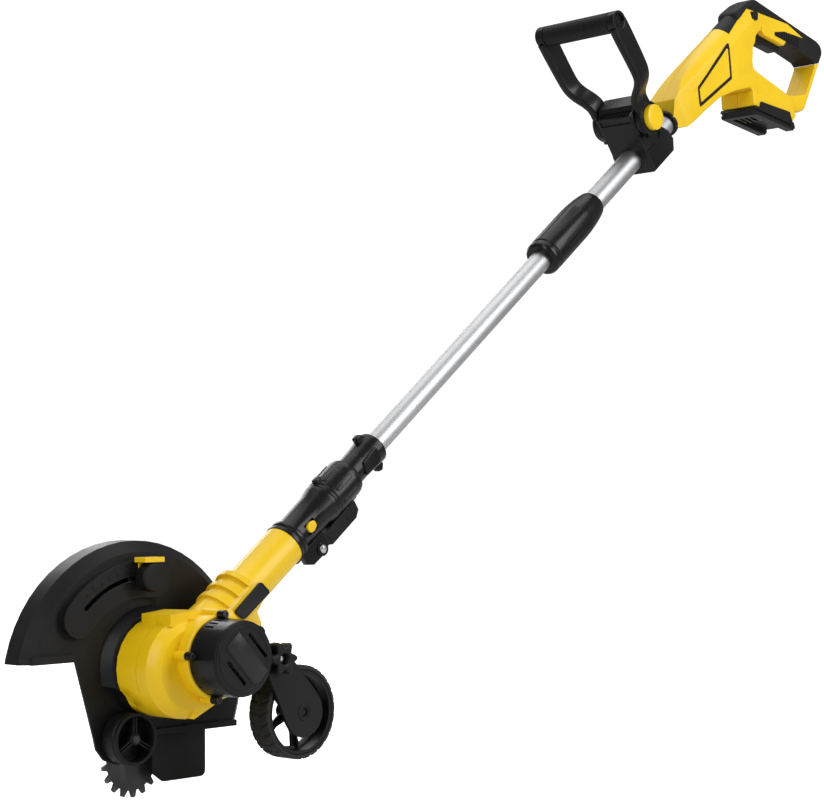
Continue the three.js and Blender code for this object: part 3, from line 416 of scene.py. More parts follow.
def combine(target, tools, operation):
    """One exact boolean for each tool; the tools are used up."""
    for tool in tools:
        modifier = target.modifiers.new("combine", "BOOLEAN")
        modifier.operation = operation
        modifier.solver = "EXACT"
        modifier.object = tool
        bpy.context.view_layer.update()
        evaluated = target.evaluated_get(bpy.context.evaluated_depsgraph_get())
        mesh = bpy.data.meshes.new_from_object(evaluated)
        target.modifiers.clear()
        target.data = mesh
        bpy.data.objects.remove(tool)
    target.data.materials.clear()
    shade(target)
    return target


def carve(target, *tools):
    return combine(target, tools, "DIFFERENCE")


def unite(target, *tools):
    return combine(target, tools, "UNION")


def within(target, tool):
    return combine(target, [tool], "INTERSECT")


def gather(target, *others):
    """Several closed meshes kept as one piece."""
    bm = bmesh.new()
    for obj in (target, *others):
        bm.from_mesh(obj.data)
    name = target.name
    for obj in (target, *others):
        bpy.data.objects.remove(obj)
    return new_object(name, bm)


def copy_of(obj, name):
    twin = bpy.data.objects.new(name, obj.data.copy())
    bpy.context.scene.collection.objects.link(twin)
    return twin


# ---------------------------------------------------------------- pieces and what they ride on
def paint(obj, material):
    obj.data.materials.clear()
    obj.data.materials.append(material)


def trim(obj, node, slot=None, material=None):
    """A small detail that moves with a CAD node and stands for none."""
    slot = slot or SLOT_OF[node]
    paint(obj, material or FINISH[slot])
    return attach(obj, frame["nodes"][node]["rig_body"])


def stand_in(obj, *nodes, material=None):
    trim(obj, nodes[0], material=material)
    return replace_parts(obj, *nodes)


def refined(node, edge, sharp=30, material=None):
    """The CAD shape with merged flats, softened edges and smooth turned faces."""
    bm = bmesh.new()
    bm.from_mesh(frame["nodes"][node].data)
    bmesh.ops.remove_doubles(bm, verts=bm.verts, dist=2e-5)
    bmesh.ops.dissolve_limit(bm, angle_limit=math.radians(1), verts=bm.verts, edges=bm.edges)
    obj = new_object(node + "_skin", bm, sharp)
    bevel = obj.modifiers.new("edges", "BEVEL")
    bevel.width = edge * MM
    bevel.segments = 2
    bevel.limit_method = "ANGLE"
    bevel.angle_limit = math.radians(sharp + 4)
    bevel.use_clamp_overlap = True
    bevel.harden_normals = True
    return stand_in(obj, node, material=material)


# ---------------------------------------------------------------- motor cap and head
LABEL_TURN = -47                           # the label lies askew on the cap's face
CAP_RIB_RADIUS = 38.0
CAP_RIB_ANGLES = (150, 170, 200, 225, 245, 275, 300, 320, 340, 0, 25, 45, 65)
EAR_ANGLES = (175, 90, 258)                # the three screws round the cap
EAR_RADIUS = 41
KNOB_JOINT = (Vector(JOINTS["depth_knob_turn"]["pos_m"]) - MOTOR) / MM
SLOT_KNOB = (KNOB_JOINT.x, KNOB_JOINT.z)
HEAD_SCREWS = ((-52, 8), (-46, -42), (-6, -52), (24, -26), (30, 22), (58, 26))
NECK_SCREW = 5                             # this one sits where the far shell is shallower


def make_cap():
    skin = refined("motor_cap", 0.5)
    # The panel sits a little back, so that the label on it stays inside the CAD box.
    panel_back = on_head(0, -0.6, 0).y
    for vertex in skin.data.vertices:
        vertex.co.y = max(vertex.co.y, panel_back)
    for radius, y in ((30.6, -0.15), (35.4, 1.0)):
        section = [(radius - 0.9, y + 0.6), (radius - 0.7, y - 0.3), (radius + 0.7, y - 0.3),
                   (radius + 0.9, y + 0.6), (radius - 0.9, y + 0.6)]
        trim(across(f"cap_rim_{int(radius)}", section, 0, 0, 96, soft=0.3), "motor_cap")
    label = rounded([(-26.5, -10.5), (21.4, -10.5), (26.5, -5.4), (26.5, 10.5), (-26.5, 10.5)], 1.6)
    plate = slab("cap_label_blank", label, -0.8, 0.2, spun(4, -0.5, LABEL_TURN), 0.2, steps=2)
    trim(plate, "motor_cap", material=GLOSS_LABEL)
    for angle in CAP_RIB_ANGLES:
        place = spun(0, 0, angle, CAP_RIB_RADIUS)
        trim(box(f"cap_rib_{angle}", (-0.6, 30, -0.5), (0.6, 34.6, 0.5), place, 0.2), "motor_cap")
    for i, angle in enumerate(EAR_ANGLES):
        a = math.radians(angle)
        x, z = EAR_RADIUS * math.cos(a), EAR_RADIUS * math.sin(a)
        profile = [(0, 35.4), (4.6, 35.4), (4.9, 52), (5.4, 58), (0, 58)]
        boss = across(f"screw_boss_{i + 1}", profile, x, z, 32)
        trim(boss, "head_shell_left")
        profile = [(1.5, 26.6), (1.5, 25.5), (3.1, 25.5), (3.5, 26.2), (3.5, 27.2), (0, 27.2), (0, 26.6),
                   (1.5, 26.6)]
        head = across(f"cap_screw_head_{i + 1}", profile, x, z, 24, soft=0.2)
        stand_in(head, f"cap_screw_{i + 1}", material=DARK_STEEL)


def make_head():
    refined("head_shell_left", 0.9, 34)
    refined("head_shell_right", 0.9, 34)
    refined("gearbox_cover", 0.6)
    badge = rounded([(54, 5.5), (95, 6.5), (97.5, 4), (100, -8), (98.5, -10.5), (58, -9.5), (55.5, -7),
                     (52.5, 3)], 1.5)
    plate = slab("badge_plate", badge, -24.5, -23.3, on_pole, 0.4)
    stand_in(plate, "neck_badge", material=GLOSS_LABEL)
    rim = slab("badge_rim", badge, -24.9, -24.2, on_pole, 0.2, holes=[inset(badge, 1.0)], steps=2)
    trim(rim, "neck_badge")
    for node in ("depth_pointer", "rear_bracket", "depth_arm"):
        refined(node, 0.4)
    profile = [(0, 94), (12.6, 94), (13.6, 94.6), (14.2, 95.8), (14.2, 107), (13, 109), (0, 109)]
    knob = across("depth_knob_skin", profile, *SLOT_KNOB, 96, soft=0.5)
    stud = across("depth_stud", [(0, 108), (2, 108), (2, 129.5), (0, 129.5)], *SLOT_KNOB, 24)
    stand_in(gather(knob, stud), "depth_knob")
    for i, (x, z) in enumerate(HEAD_SCREWS):
        y = 100.2 if i == NECK_SCREW else 106.9
        screw_head(f"head_screw_{i + 1}", x, y, z, on_head, "head_shell_right")


def knurl(x, z, radius, depth, teeth, steps):
    """A wavy outline with one wave for each lobe."""
    points = []
    for i in range(teeth * steps):
        a = 2 * math.pi * i / (teeth * steps)
        r = radius + depth * math.cos(teeth * a)
        points.append(Vector((x + r * math.cos(a), z + r * math.sin(a))))
    return points


def screw_head(name, x, y, z, place, node, radius=3.2):
    """A pan head with a crossed recess, facing the far side."""
    centre = place(x, y, z)
    dome = lathe(name, [(0, 1.0), (1.2, 0.98), (2.3, 0.7), (radius, 0), (radius, -0.6), (0, -0.6)],
                 centre, ACROSS, SIDE, 24)
    for degrees in (20, 110):
        cos, sin = math.cos(math.radians(degrees)), math.sin(math.radians(degrees))

        def turned(u, v, w):
            return centre + (SIDE * (u * cos - w * sin) + UP * (u * sin + w * cos) + ACROSS * v) * MM

        dome = carve(dome, box(name + "_slot", (-1.7, 0.3, -0.35), (1.7, 1.6, 0.35), turned, 0.05))
    return trim(dome, node, slot="steel")


# ---------------------------------------------------------------- guard, flap, blade
MARK_RADIUS = 110.4                        # where the depth marks start, beside the guard's slot
SHADE_SHEET_INNER, SHADE_SHEET_OUTER = 88, 114       # a dark sheet behind the slot: painted shade, so the slot reads dark


def about_spindle(radius, angles):
    """Points on a circle about the blade's axis."""
    return [(SPINDLE.x + radius * math.cos(a), SPINDLE.z + radius * math.sin(a)) for a in angles]


def make_guard():
    refined("guard", 0.9, 28)
    for i in range(8):
        reach = 3.4 if i % 2 else 5.2
        place = spun(SPINDLE.x, SPINDLE.z, 92 + 5.2 * i, MARK_RADIUS)
        trim(box(f"depth_mark_{i + 1}", (0, 111.95, -0.6), (reach, 112.8, 0.6), place, 0.15), "guard")
    # A dark sheet behind the guard's slot: painted shade, standing in for the shadow inside the slot.
    angles = [math.radians(78 + 3 * i) for i in range(20)]
    shade_band = about_spindle(SHADE_SHEET_OUTER, angles) + about_spindle(SHADE_SHEET_INNER, angles[::-1])
    trim(slab("slot_painted_shade", shade_band, 130.4, 131.4, on_head, 0.3, steps=1), "guard")
    flap_outline = rounded([(-12, -70), (57, -70), (57, -128), (2, -128), (-12, -118)], 7)
    flap = slab("flap_skin", flap_outline, 124, 127, on_head, 0.8)
    stand_in(flap, "debris_flap")
    for i, x in enumerate((2, 23, 46)):
        screw_head(f"flap_screw_{i + 1}", x, 127.1, -75, on_head, "guard", radius=3.4)
    refined("blade", 0.35, 30, DARK_STEEL)
    for node in ("blade_washer", "blade_nut", "spindle"):
        refined(node, 0.3)


def make_front_wheel():
    x, z = FRONT_WHEEL.x, FRONT_WHEEL.z
    profile = [(22.2, 96.9), (25.0, 96.9), (25.2, 98.2), (24.2, 99.4), (24.2, 102), (25.2, 103),
               (25.2, 118), (24.6, 118.6), (22.4, 118.6), (21.8, 116), (21.8, 98.4), (22.2, 96.9)]
    rim = across("front_wheel_skin", profile, x, z, 96, soft=0.4)
    web = across("front_web", [(6, 112.5), (22.4, 112.5), (22.4, 114), (6, 114), (6, 112.5)], x, z, 72)
    profile = [(3.6, 97.6), (5.6, 97.6), (6.2, 99), (6.2, 118.4), (3.6, 118.4), (3.6, 97.6)]
    hub = across("front_hub", profile, x, z, 48)
    spokes = []
    for angle in (90, 210, 330):
        for shift in (-1.5, 1.5):
            spokes.append(box(f"spoke_{angle}_{shift}", (4.8, 98.6, shift - 0.7), (22.6, 113, shift + 0.7),
                              spun(x, z, angle), 0.3))
    stand_in(gather(rim, web, hub, *spokes), "front_wheel")
    profile = [(0, 95.8), (3.4, 95.8), (4.4, 96.6), (4.4, 97.4), (3, 97.5), (3, 129), (0, 129)]
    axle = across("front_axle_skin", profile, x, z, 32, soft=0.4)
    stand_in(axle, "front_axle", material=DARK_STEEL)


# ---------------------------------------------------------------- rear wheel
def make_tyre():
    """A tread of slanting blocks on a round-shouldered tyre."""
    x, z = REAR_WHEEL.x, REAR_WHEEL.z
    blocks, per_block = 26, 10
    middle, inner_radius = 34.4, 42.3
    # Each row across the tread: where it is, its radius, and its share of the grooves' depth.
    # The two rows at 0.2 are the plain channel round the middle.
    rows = [(20.7, 43.0, 0), (20.9, 45.4, 0.3), (22.0, 46.5, 1), (25.0, 46.6, 1), (28.0, 46.6, 1),
            (31.0, 46.6, 1), (33.6, 46.6, 0.2), (35.2, 46.6, 0.2), (38.0, 46.6, 1), (41.0, 46.6, 1),
            (44.0, 46.6, 1), (46.9, 46.5, 1), (48.0, 45.4, 0.3), (48.2, 43.0, 0)]
    bm = bmesh.new()
    steps = blocks * per_block
    made = []
    for y, radius, depth in rows:
        row = []
        for i in range(steps):
            lean = abs(y - middle) * 0.35
            phase = (i + lean) % per_block
            groove = 1.5 * depth if phase < 2.2 else 0
            groove = 1.3 if depth == 0.2 else groove
            a = 2 * math.pi * i / steps
            tread = radius - groove
            row.append(bm.verts.new(on_head(x + tread * math.cos(a), y, z + tread * math.sin(a))))
        made.append(row)
    inner = [[bm.verts.new(on_head(p.x, y, p.y)) for p in circle(x, z, inner_radius, steps)]
             for y in (48.0, 20.9)]
    loops = made + inner
    for low, high in zip(loops, loops[1:] + loops[:1]):
        for i in range(steps):
            bm.faces.new((low[i - 1], low[i], high[i], high[i - 1]))
    stand_in(new_object("tyre_skin", bm, 25), "rear_tyre")


def make_rear_wheel():
    x, z = REAR_WHEEL.x, REAR_WHEEL.z
    make_tyre()
    profile = [(38.5, 21.6), (41.8, 21.4), (42, 22), (42, 47.4), (41.6, 47.7), (38.7, 47.5), (38.2, 42),
               (38.2, 36), (38.5, 21.6)]
    rim = across("rear_wheel_skin", profile, x, z, 96, soft=0.5)
    ledge = across("rim_ledge", [(34.8, 38), (38.6, 36.6), (38.6, 41), (34.8, 41), (34.8, 38)], x, z, 72)
    profile = [(4.5, 24.2), (8.4, 24.2), (9, 25.2), (9, 38), (12.5, 38), (12.5, 41), (9, 41), (9, 47.8),
               (4.5, 47.8), (4.5, 24.2)]
    hub = across("rear_hub", profile, x, z, 48)
    spokes = []
    outline = rounded([(10.5, -5.2), (22, -3.6), (36.5, -5.8), (36.5, 5.8), (22, 3.6), (10.5, 5.2)], 3)
    for angle in (66, 138, 210, 282, 354):
        place = spun(x, z, angle)
        spokes.append(slab(f"rear_spoke_{angle}", outline, 38, 41, place, 0.5))
        spokes.append(box(f"rear_rib_{angle}", (9, 34.6, -0.8), (37.5, 38.4, 0.8), place, 0.3))
    stand_in(gather(rim, ledge, hub, *spokes), "rear_wheel")
    refined("wheel_arm", 0.8)
    profile = [(6.4, 16.9), (6.9, 15.9), (8.3, 15.9), (8.8, 16.9), (6.4, 16.9)]
    rim_ring = across("arm_hub_ring", profile, x, z, 48, soft=0.3)
    trim(rim_ring, "wheel_arm")
    profile = [(0, 18.2), (3.4, 18.2), (4, 18.8), (4, 50), (7, 50), (7, 51.4), (6.4, 52), (0, 52)]
    axle = across("rear_axle_skin", profile, x, z, 36, soft=0.4)
    stand_in(axle, "rear_axle", material=FINISH["black_matte"])
    star = slab("star_knob_skin", knurl(ARM_PIVOT.x, ARM_PIVOT.z, 14.0, 3.2, 6, 14), 3, 16.2, on_head, 1.8,
                holes=[circle(ARM_PIVOT.x, ARM_PIVOT.z, 5.3, 40)])
    stand_in(star, "wheel_arm_knob")
    profile = [(0, 8.2), (2.2, 8.3), (4.2, 9.2), (4.6, 10.2), (4.6, 11.5), (3, 11.5), (3, 48), (0, 48)]
    bolt = across("arm_bolt_skin", profile, ARM_PIVOT.x, ARM_PIVOT.z, 36, soft=0.3)
    stand_in(bolt, "wheel_arm_bolt")


# ---------------------------------------------------------------- pole and couplings
TUBES = (("lower_tube", 12.5, 1.3, 112, 800),
         ("upper_tube", 14.15, 1.35, 720, 1100))   # radius, wall, and where each starts and ends


def make_pole():
    for node, outer, wall, s0, s1 in TUBES:
        profile = [(outer - wall, s0), (outer, s0), (outer, s1), (outer - wall, s1), (outer - wall, s0)]
        tube = about_pole(node + "_skin", profile, 96, soft=0.3)
        stand_in(tube, node)
    profile = [(12.8, 692), (19.2, 692), (22.0, 695), (22.3, 698), (22.3, 702), (21.3, 702.6),
               (21.3, 704.2), (22.4, 705), (22.4, 770), (22.1, 780), (21.3, 790), (20.2, 800), (18.8, 809),
               (17.2, 816), (16.0, 817.8), (14.5, 818), (14.5, 728), (16.9, 726), (16.9, 695), (12.8, 695),
               (12.8, 692)]
    lock = about_pole("twist_lock_skin", profile, 112, soft=2.5)
    stand_in(lock, "twist_lock")
    for i in range(2):
        y = -21.6 if i else 21.6
        outline = rounded([(722, -5), (764, -5), (764, 5), (722, 5)], 4.8)
        pad = slab(f"twist_pad_{i + 1}", outline, y - 0.7, y + 0.7, on_pole, 0.4)
        trim(pad, "twist_lock", material=FINISH["soft_grip"])


NUT_RADIUS = 22.0


def around_nut(degrees):
    """Places an outline drawn along and around the ring nut on its outside."""
    cos, sin = math.cos(math.radians(degrees)), math.sin(math.radians(degrees))

    def place(s, height, y):
        out = NUT_RADIUS + height
        return on_pole(s, cos * y - sin * out, cos * out + sin * y)

    return place


def make_coupling():
    refined("coupling_body", 0.5, 30)
    profile = [(17.3, 231), (22.0, 231), (22.3, 232), (22.3, 233.6), (21.5, 234.2), (21.5, 235.6),
               (22.3, 236.4), (22.3, 269), (21.8, 273), (20.6, 276.2), (17.3, 276.7), (17.3, 231)]
    nut = about_pole("ring_nut_skin", profile, 96, soft=1.0)
    outline = rounded([(240, -2.8), (266, -2.8), (266, 2.8), (240, 2.8)], 2.7)
    pads = [slab(f"nut_pad_{i}", outline, -1, 1.0, around_nut(45 * i + 20), 0.6) for i in range(8)]
    stem = slab("nut_tab", rounded([(234, -4), (243, -4), (243, 4), (234, 4)], 2.5), 18, 25.8, top_view,
                1.2)
    stand_in(gather(nut, stem, *pads), "ring_nut")
    profile = [(12.8, 277), (16.2, 277), (16.6, 279), (16.6, 296), (17.2, 306), (18.0, 314), (18.4, 322),
               (18.4, 325.4), (17.6, 327), (12.8, 327), (12.8, 277)]
    collar = about_pole("collar_skin", profile, 96, soft=1.0)
    outline = rounded([(286, -8), (311, -9), (316, -4), (316, 8), (291, 6)], 2)
    flat = slab("collar_flat", outline, -18.4, -14.5, on_pole, 0.5)
    upper = rounded([(310, 13), (322, 13), (321, 20), (316, 24.4), (309, 24), (309, 20)], 2.4)
    lower = rounded([(314, -13), (326.4, -13), (326, -22), (321, -27), (315, -25)], 2.4)
    lugs = [slab("upper_lug", upper, -3.8, 3.8, on_pole, 1.2),
            slab("lower_lug", lower, -3.8, 3.8, on_pole, 1.2)]
    stand_in(gather(collar, flat, *lugs), "pole_collar")
    s, n = LEVER_PIVOT
    refined("cam_lever", 0.8, 30)
    for side in (-1, 1):
        for k in range(2):
            low = (205 + 34 * k, side * 13 - 0.35, -32.6)
            high = (206.4 + 34 * k, side * 13 + 0.35, -24)
            rib = box(f"lever_rib_{side}_{k}", low, high, on_pole, 0.25)
            trim(rib, "cam_lever")
    profile = [(0, -19.6), (2.6, -19.4), (4.5, -18), (4.8, -16.6), (3, -16.3), (3, 18.5), (0, 18.5)]
    pin = across("lever_pin_skin", profile, s, n, 36, soft=0.4, place=on_pole)
    stand_in(pin, "lever_pin")
    profile = [(5.2, -16.6), (5.4, -17.4), (7.4, -17.4), (7.8, -16.2), (5.2, -16.6)]
    ring = across("pin_ring", profile, s, n, 40, soft=0.3, place=on_pole)
    trim(ring, "coupling_body")
    drop = rounded([(182.4, 1.6), (184.4, -3.2), (190, -4.0), (195.8, -1.6), (196, 4.6), (190, 6.9),
                    (184.4, 5.2)], 2.4)
    stand_in(slab("release_button_skin", drop, -20.4, -15.8, on_pole, 1.0), "release_button")


# ---------------------------------------------------------------- D-handle
LEAN = math.radians(4)
BAR_HEIGHT = 137.5                         # from the pivot to the bar's middle
ARM_THICKNESS = 10.2
CUP_INNER, CUP_OUTER = 50.2, 61.6          # the cups that hold the bar's ends, from the middle plane


def leaning(s, y, n):
    """A point of the upright handle, leant towards the head about its pivot."""
    ds, dn = s - D_PIVOT[0], n - D_PIVOT[1]
    return on_pole(D_PIVOT[0] + ds * math.cos(LEAN) - dn * math.sin(LEAN), y,
                   D_PIVOT[1] + ds * math.sin(LEAN) + dn * math.cos(LEAN))


def arm_place(u, p):
    return leaning(D_PIVOT[0] + u, p.x, p.y)


def arm_width(share):
    """The arm narrows towards its middle and widens again at the bar."""
    return 31 - 4.5 * math.sin(math.pi * min(1, share * 1.15))


def make_d_handle():
    s, n = D_PIVOT
    top = n + BAR_HEIGHT
    parts = []
    for side in (-1, 1):
        path = smooth_line([(side * 33, 24), (side * 33, 60), (side * 33.4, 73), (side * 39.5, 83),
                            (side * 48, 92), (side * 54.5, 103), (side * 56, 118), (side * 56, 150),
                            (side * 56, top - 4)], 3)
        parts.append(strip(f"arm_{side}", path, arm_width, ARM_THICKNESS, arm_place, 3.6))
        low, high = sorted((side * 28, side * 38))
        boss = [(4.4, low), (21.5, low), (21.5, high), (4.4, high), (4.4, low)]
        parts.append(across(f"boss_{side}", boss, s, n, 72, soft=1.8, place=leaning))
        inner, outer, floor = side * CUP_INNER, side * CUP_OUTER, side * 58
        rim = [(9.5, floor), (9.5, outer), (13, outer), (13, inner), (0, inner), (0, floor), (9.5, floor)]
        parts.append(across(f"bar_end_{side}", rim, s, top, 72, soft=1.2, place=leaning))
    bar = across("bar_core", [(0, -52), (9, -52), (9, 52), (0, 52)], s, top, 48, place=leaning)
    stand_in(gather(*parts, bar), "d_handle_frame")
    for side in (-1, 1):
        y = side * 38.2
        profile = [(16.9, y - 0.7), (17.6, y - 1.0), (19.8, y - 1.0), (20.6, y + 0.6), (16.9, y + 0.6),
                   (16.9, y - 0.7)]
        ring = across(f"boss_ring_{side}", profile, s, n, 72, soft=0.4, place=leaning)
        trim(ring, "d_handle_frame")
    profile = [(0, 39.6), (9, 39.6), (10.5, 38.6), (10.5, 36), (0, 36)]
    cap = across("far_boss_cap", profile, s, n, 6, soft=0.5, place=leaning)
    trim(cap, "d_handle_frame", slot="steel")
    profile = [(9.4, -49.7), (12.2, -49.7), (13, -48.4)]
    profile += [(12.85 + 0.14 * math.cos(i * math.pi), -46 + 2 * i) for i in range(47)]   # ripples
    profile += [(13, 48.4), (12.2, 49.7), (9.4, 49.7), (9.4, -49.7)]
    sleeve = across("sleeve_skin", profile, s, top, 84, soft=0.3, place=leaning)
    stand_in(sleeve, "d_handle_sleeve")
    profile = [(0, -46.2), (12.4, -46.5), (14.8, -46.0), (16, -44.8), (16, -38.4), (4, -38.4), (4, 40),
               (0, 40)]
    knob = across("d_knob_skin", profile, s, n, 72, soft=0.8, place=on_pole)
    stand_in(knob, "d_handle_knob")


MOUNT_HALF = 27.7


def make_mount():
    outline = rounded([(922, -21), (974, -21), (983, -8), (980, 5)], 3, closed=False)
    outline += rounded([(980, 5), (970, 18), (967, 44), (963, 60), (956, 73), (934, 69)], 6,
                       closed=False)[1:]
    outline += rounded([(934, 69), (930, 62), (922, 60)], 1.5, closed=False)[1:]
    block = slab("mount_skin", outline, -MOUNT_HALF, MOUNT_HALF, on_pole, 2.2)
    bore = about_pole("mount_bore", [(0, 900), (14.45, 900), (14.45, 1000), (0, 1000)], 64)
    profile = [(0, -40), (4.3, -40), (4.3, 40), (0, 40)]
    bolt = across("mount_bolt_hole", profile, D_PIVOT[0], D_PIVOT[1], 32, place=on_pole)
    recess = box("mount_recess", (915, -23, 50), (924.2, 23, 57.5), on_pole, 0.8)
    undercut = box("mount_undercut", (918, -24, 59.5), (931.5, 24, 63.5), on_pole, 0.6)
    sides = [slab(f"mount_waist_{side}", rounded([(905, 6), (958, 9), (968, 22), (962, 30), (905, 34)], 6),
                  *sorted((side * 25.6, side * 40)), on_pole, 0.1) for side in (-1, 1)]
    block = carve(block, bore, bolt, recess, undercut, *sides)
    stand_in(block, "d_handle_mount")
    profile = [(14.5, 921.9), (14.6, 921.2), (16.4, 921.2), (17.2, 922.4), (14.5, 922.4), (14.5, 921.9)]
    lip = about_pole("mount_lip", profile, 64, soft=0.3)
    trim(lip, "d_handle_mount")


# ---------------------------------------------------------------- rear handle
SLANT = math.sqrt(0.5)


def on_grip(u, w):
    """Along and below the grip's underside, which slants at 45 degrees to the pole."""
    return 1262 + SLANT * (u - w), -2 - SLANT * (u + w)


def on_dock(u, w):
    """Along and below the battery dock's seat, parallel to the grip."""
    return 1171.4 + SLANT * (u - w), -68.6 - SLANT * (u + w)


BODY = [(1012, 6), (1026, 25), (1063, 35), (1132, 41), (1186, 43), (1232, 43.5), (1262, 41), (1240, 0),
        (1212, -22), (1206, -32), (1262, -108), (1256, -126), on_dock(93.3, 0), on_dock(0, 0), (1188, -50),
        (1150, -34), (1114, -23), (1070, -19), (1028, -17), (1012, -8)]
LOOP = [(1230, 43.5), (1262, 41), (1282, 36), (1384, -85), (1390, -97), (1385, -108), (1362, -117),
        (1292, -146), (1280, -142), (1240, -112), (1200, -40), (1200, 0)]
HAND_HOLE = [(1224, -7), on_grip(0, 0), on_grip(86, 0), (1352, -98), (1356, -109), (1306, -129),
             (1259, -104), (1205, -31), (1211, -21)]
COVER = [(1191, 60), (1191, 30), (1253, 35.5), (1260, 30), (1329, -29), (1352, -64), (1316, -34),
         (1294, -22.5), on_grip(35, -2), on_grip(64, -2), on_grip(66, 3), (1318, -84), (1352, -106.5),
         (1372, -115), (1440, -115), (1440, 60)]
TRAPEZOID = [(1178, 26), (1152, -17), (1062, -9.5), (1075, 14)]
BUTTON = (1255.5, 22)
BODY_HALF = 24
LOOP_HALF = 17
DOCK_HALF = 26.2
COVER_GAP = 0.5                            # between the black cover and the yellow shells
HANDLE_SCREWS = ((1040, 0), (1118, 22), (1106, -14), (1200, -2), (1242, -118), (1216, 24))


def button_square(half):
    """A square in line with the grip."""
    reach = half * math.sqrt(2)
    s, n = BUTTON
    return [(s + reach, n), (s, n + reach), (s - reach, n), (s, n - reach)]


def handle_solid():
    crown = [(24, 18), (21.6, 25.5), (18, 31), (13, 36), (7, 39.6), (0, 41)]
    curve = [Vector((24, -140))] + smooth_line(crown, 2)
    section = curve + [Vector((-p.x, p.y)) for p in reversed(curve[:-1])]
    body = slab("handle_body", rounded(BODY, 6), -BODY_HALF, BODY_HALF, on_pole, 2.0)
    body = within(body, slab("handle_section", section, 1000, 1300, end_view, 0.2))
    nose = [(1008, 14), (1014, 17.5), (1036, 21.5), (1058, 24.2), (1310, 24.2)]
    nose += [(s, -y) for s, y in reversed(nose)]
    body = within(body, slab("handle_nose", rounded(nose, 10), -160, 60, top_view, 0.1))
    loop = slab("handle_loop", rounded(LOOP, 12), -LOOP_HALF, LOOP_HALF, on_pole, 5.5, steps=4)
    dock = [on_dock(-4, -20), on_dock(0, 0), on_dock(95, 0), on_dock(104, -12), on_dock(95, -22)]
    platform = slab("dock_platform", rounded(dock, 3), -DOCK_HALF, DOCK_HALF, on_pole, 1.5)
    hole = slab("hand_hole", rounded(HAND_HOLE, 7), -40, 40, on_pole, 0.2)
    return carve(unite(body, loop, platform), hole)


def handle_room():
    """What is cut out of the handle: the trigger's room, the tube, the button and the dock."""
    room = [on_grip(-6, -20), on_grip(-6, 2), on_grip(70, 2), on_grip(70, -25), on_grip(10, -25)]
    trigger_room = slab("trigger_room", room, -9, 9, on_pole, 0.1)
    socket = about_pole("tube_socket", [(0, 1000), (14.5, 1000), (14.5, 1108), (0, 1108)], 64)
    button = slab("button_bore", rounded(button_square(5.9), 2.8), -40, 18, on_pole, 0.1)
    recess = [on_dock(12, -28), on_dock(12, 4), on_dock(84, 4), on_dock(84, -22)]
    dock = slab("dock_room", recess, -18, 18, on_pole, 0.1)
    return [trigger_room, socket, button, dock]


def make_handle():
    solid = carve(handle_solid(), *handle_room())
    cover = copy_of(solid, "grip_cover_skin")
    cover_region = inset(COVER, COVER_GAP)
    cover = within(cover, slab("cover_region", cover_region, -40, 40, on_pole, 0.1))
    shell = carve(solid, slab("shell_region", COVER, -41, 41, on_pole, 0.1))
    for side in (-1, 1):
        y0, y1 = sorted((side * 22.8, side * 30))
        shell = carve(shell, slab(f"groove_tool_{side}", rounded(TRAPEZOID, 3.5), y0, y1, on_pole, 0.1,
                                  holes=[rounded(inset(TRAPEZOID, 4.6), 1.5)], steps=1))
    shell.name = "handle_shell_skin"
    left = copy_of(shell, "handle_left_skin")
    left = carve(left, box("right_side", (980, -0.12, -180), (1420, 60, 80), on_pole, 0.05))
    right = carve(shell, box("left_side", (980, -60, -180), (1420, 0.12, 80), on_pole, 0.05))
    stand_in(left, "handle_shell_left")
    stand_in(right, "handle_shell_right")
    stand_in(cover, "handle_cover")
    for side, node in ((-1, "handle_shell_left"), (1, "handle_shell_right")):
        y0, y1 = sorted((side * 22.9, side * 23.7))
        inlay = slab(f"side_inlay_{side}", rounded(inset(TRAPEZOID, 0.25), 3.3), y0, y1, on_pole, 0.2,
                     holes=[rounded(inset(TRAPEZOID, 4.3), 1.7)], steps=2)
        trim(inlay, node, slot="soft_grip")
    make_grip_ribs()
    make_handle_trim()


RIB_PITCH = 4.8
RIB_WIDTH = 2.2
RIB_LOW = -3.5


def make_grip_ribs():
    """Ribs along the grip's sides, longer towards the back of the loop."""
    for side in (-1, 1):
        for i in range(12):
            u = 42 + RIB_PITCH * i
            high = -8 - min(5.5, 0.3 * (u - 37)) - 0.09 * max(0, u - 61)
            ends = [on_grip(u, high), on_grip(u + RIB_WIDTH, high), on_grip(u + RIB_WIDTH, RIB_LOW),
                    on_grip(u, RIB_LOW)]
            y0, y1 = sorted((side * 16.6, side * 18))
            rib = slab(f"grip_rib_{side}_{i}", rounded(ends, 0.7, steps=2), y0, y1, on_pole, 0.3, steps=2)
            trim(rib, "handle_cover")


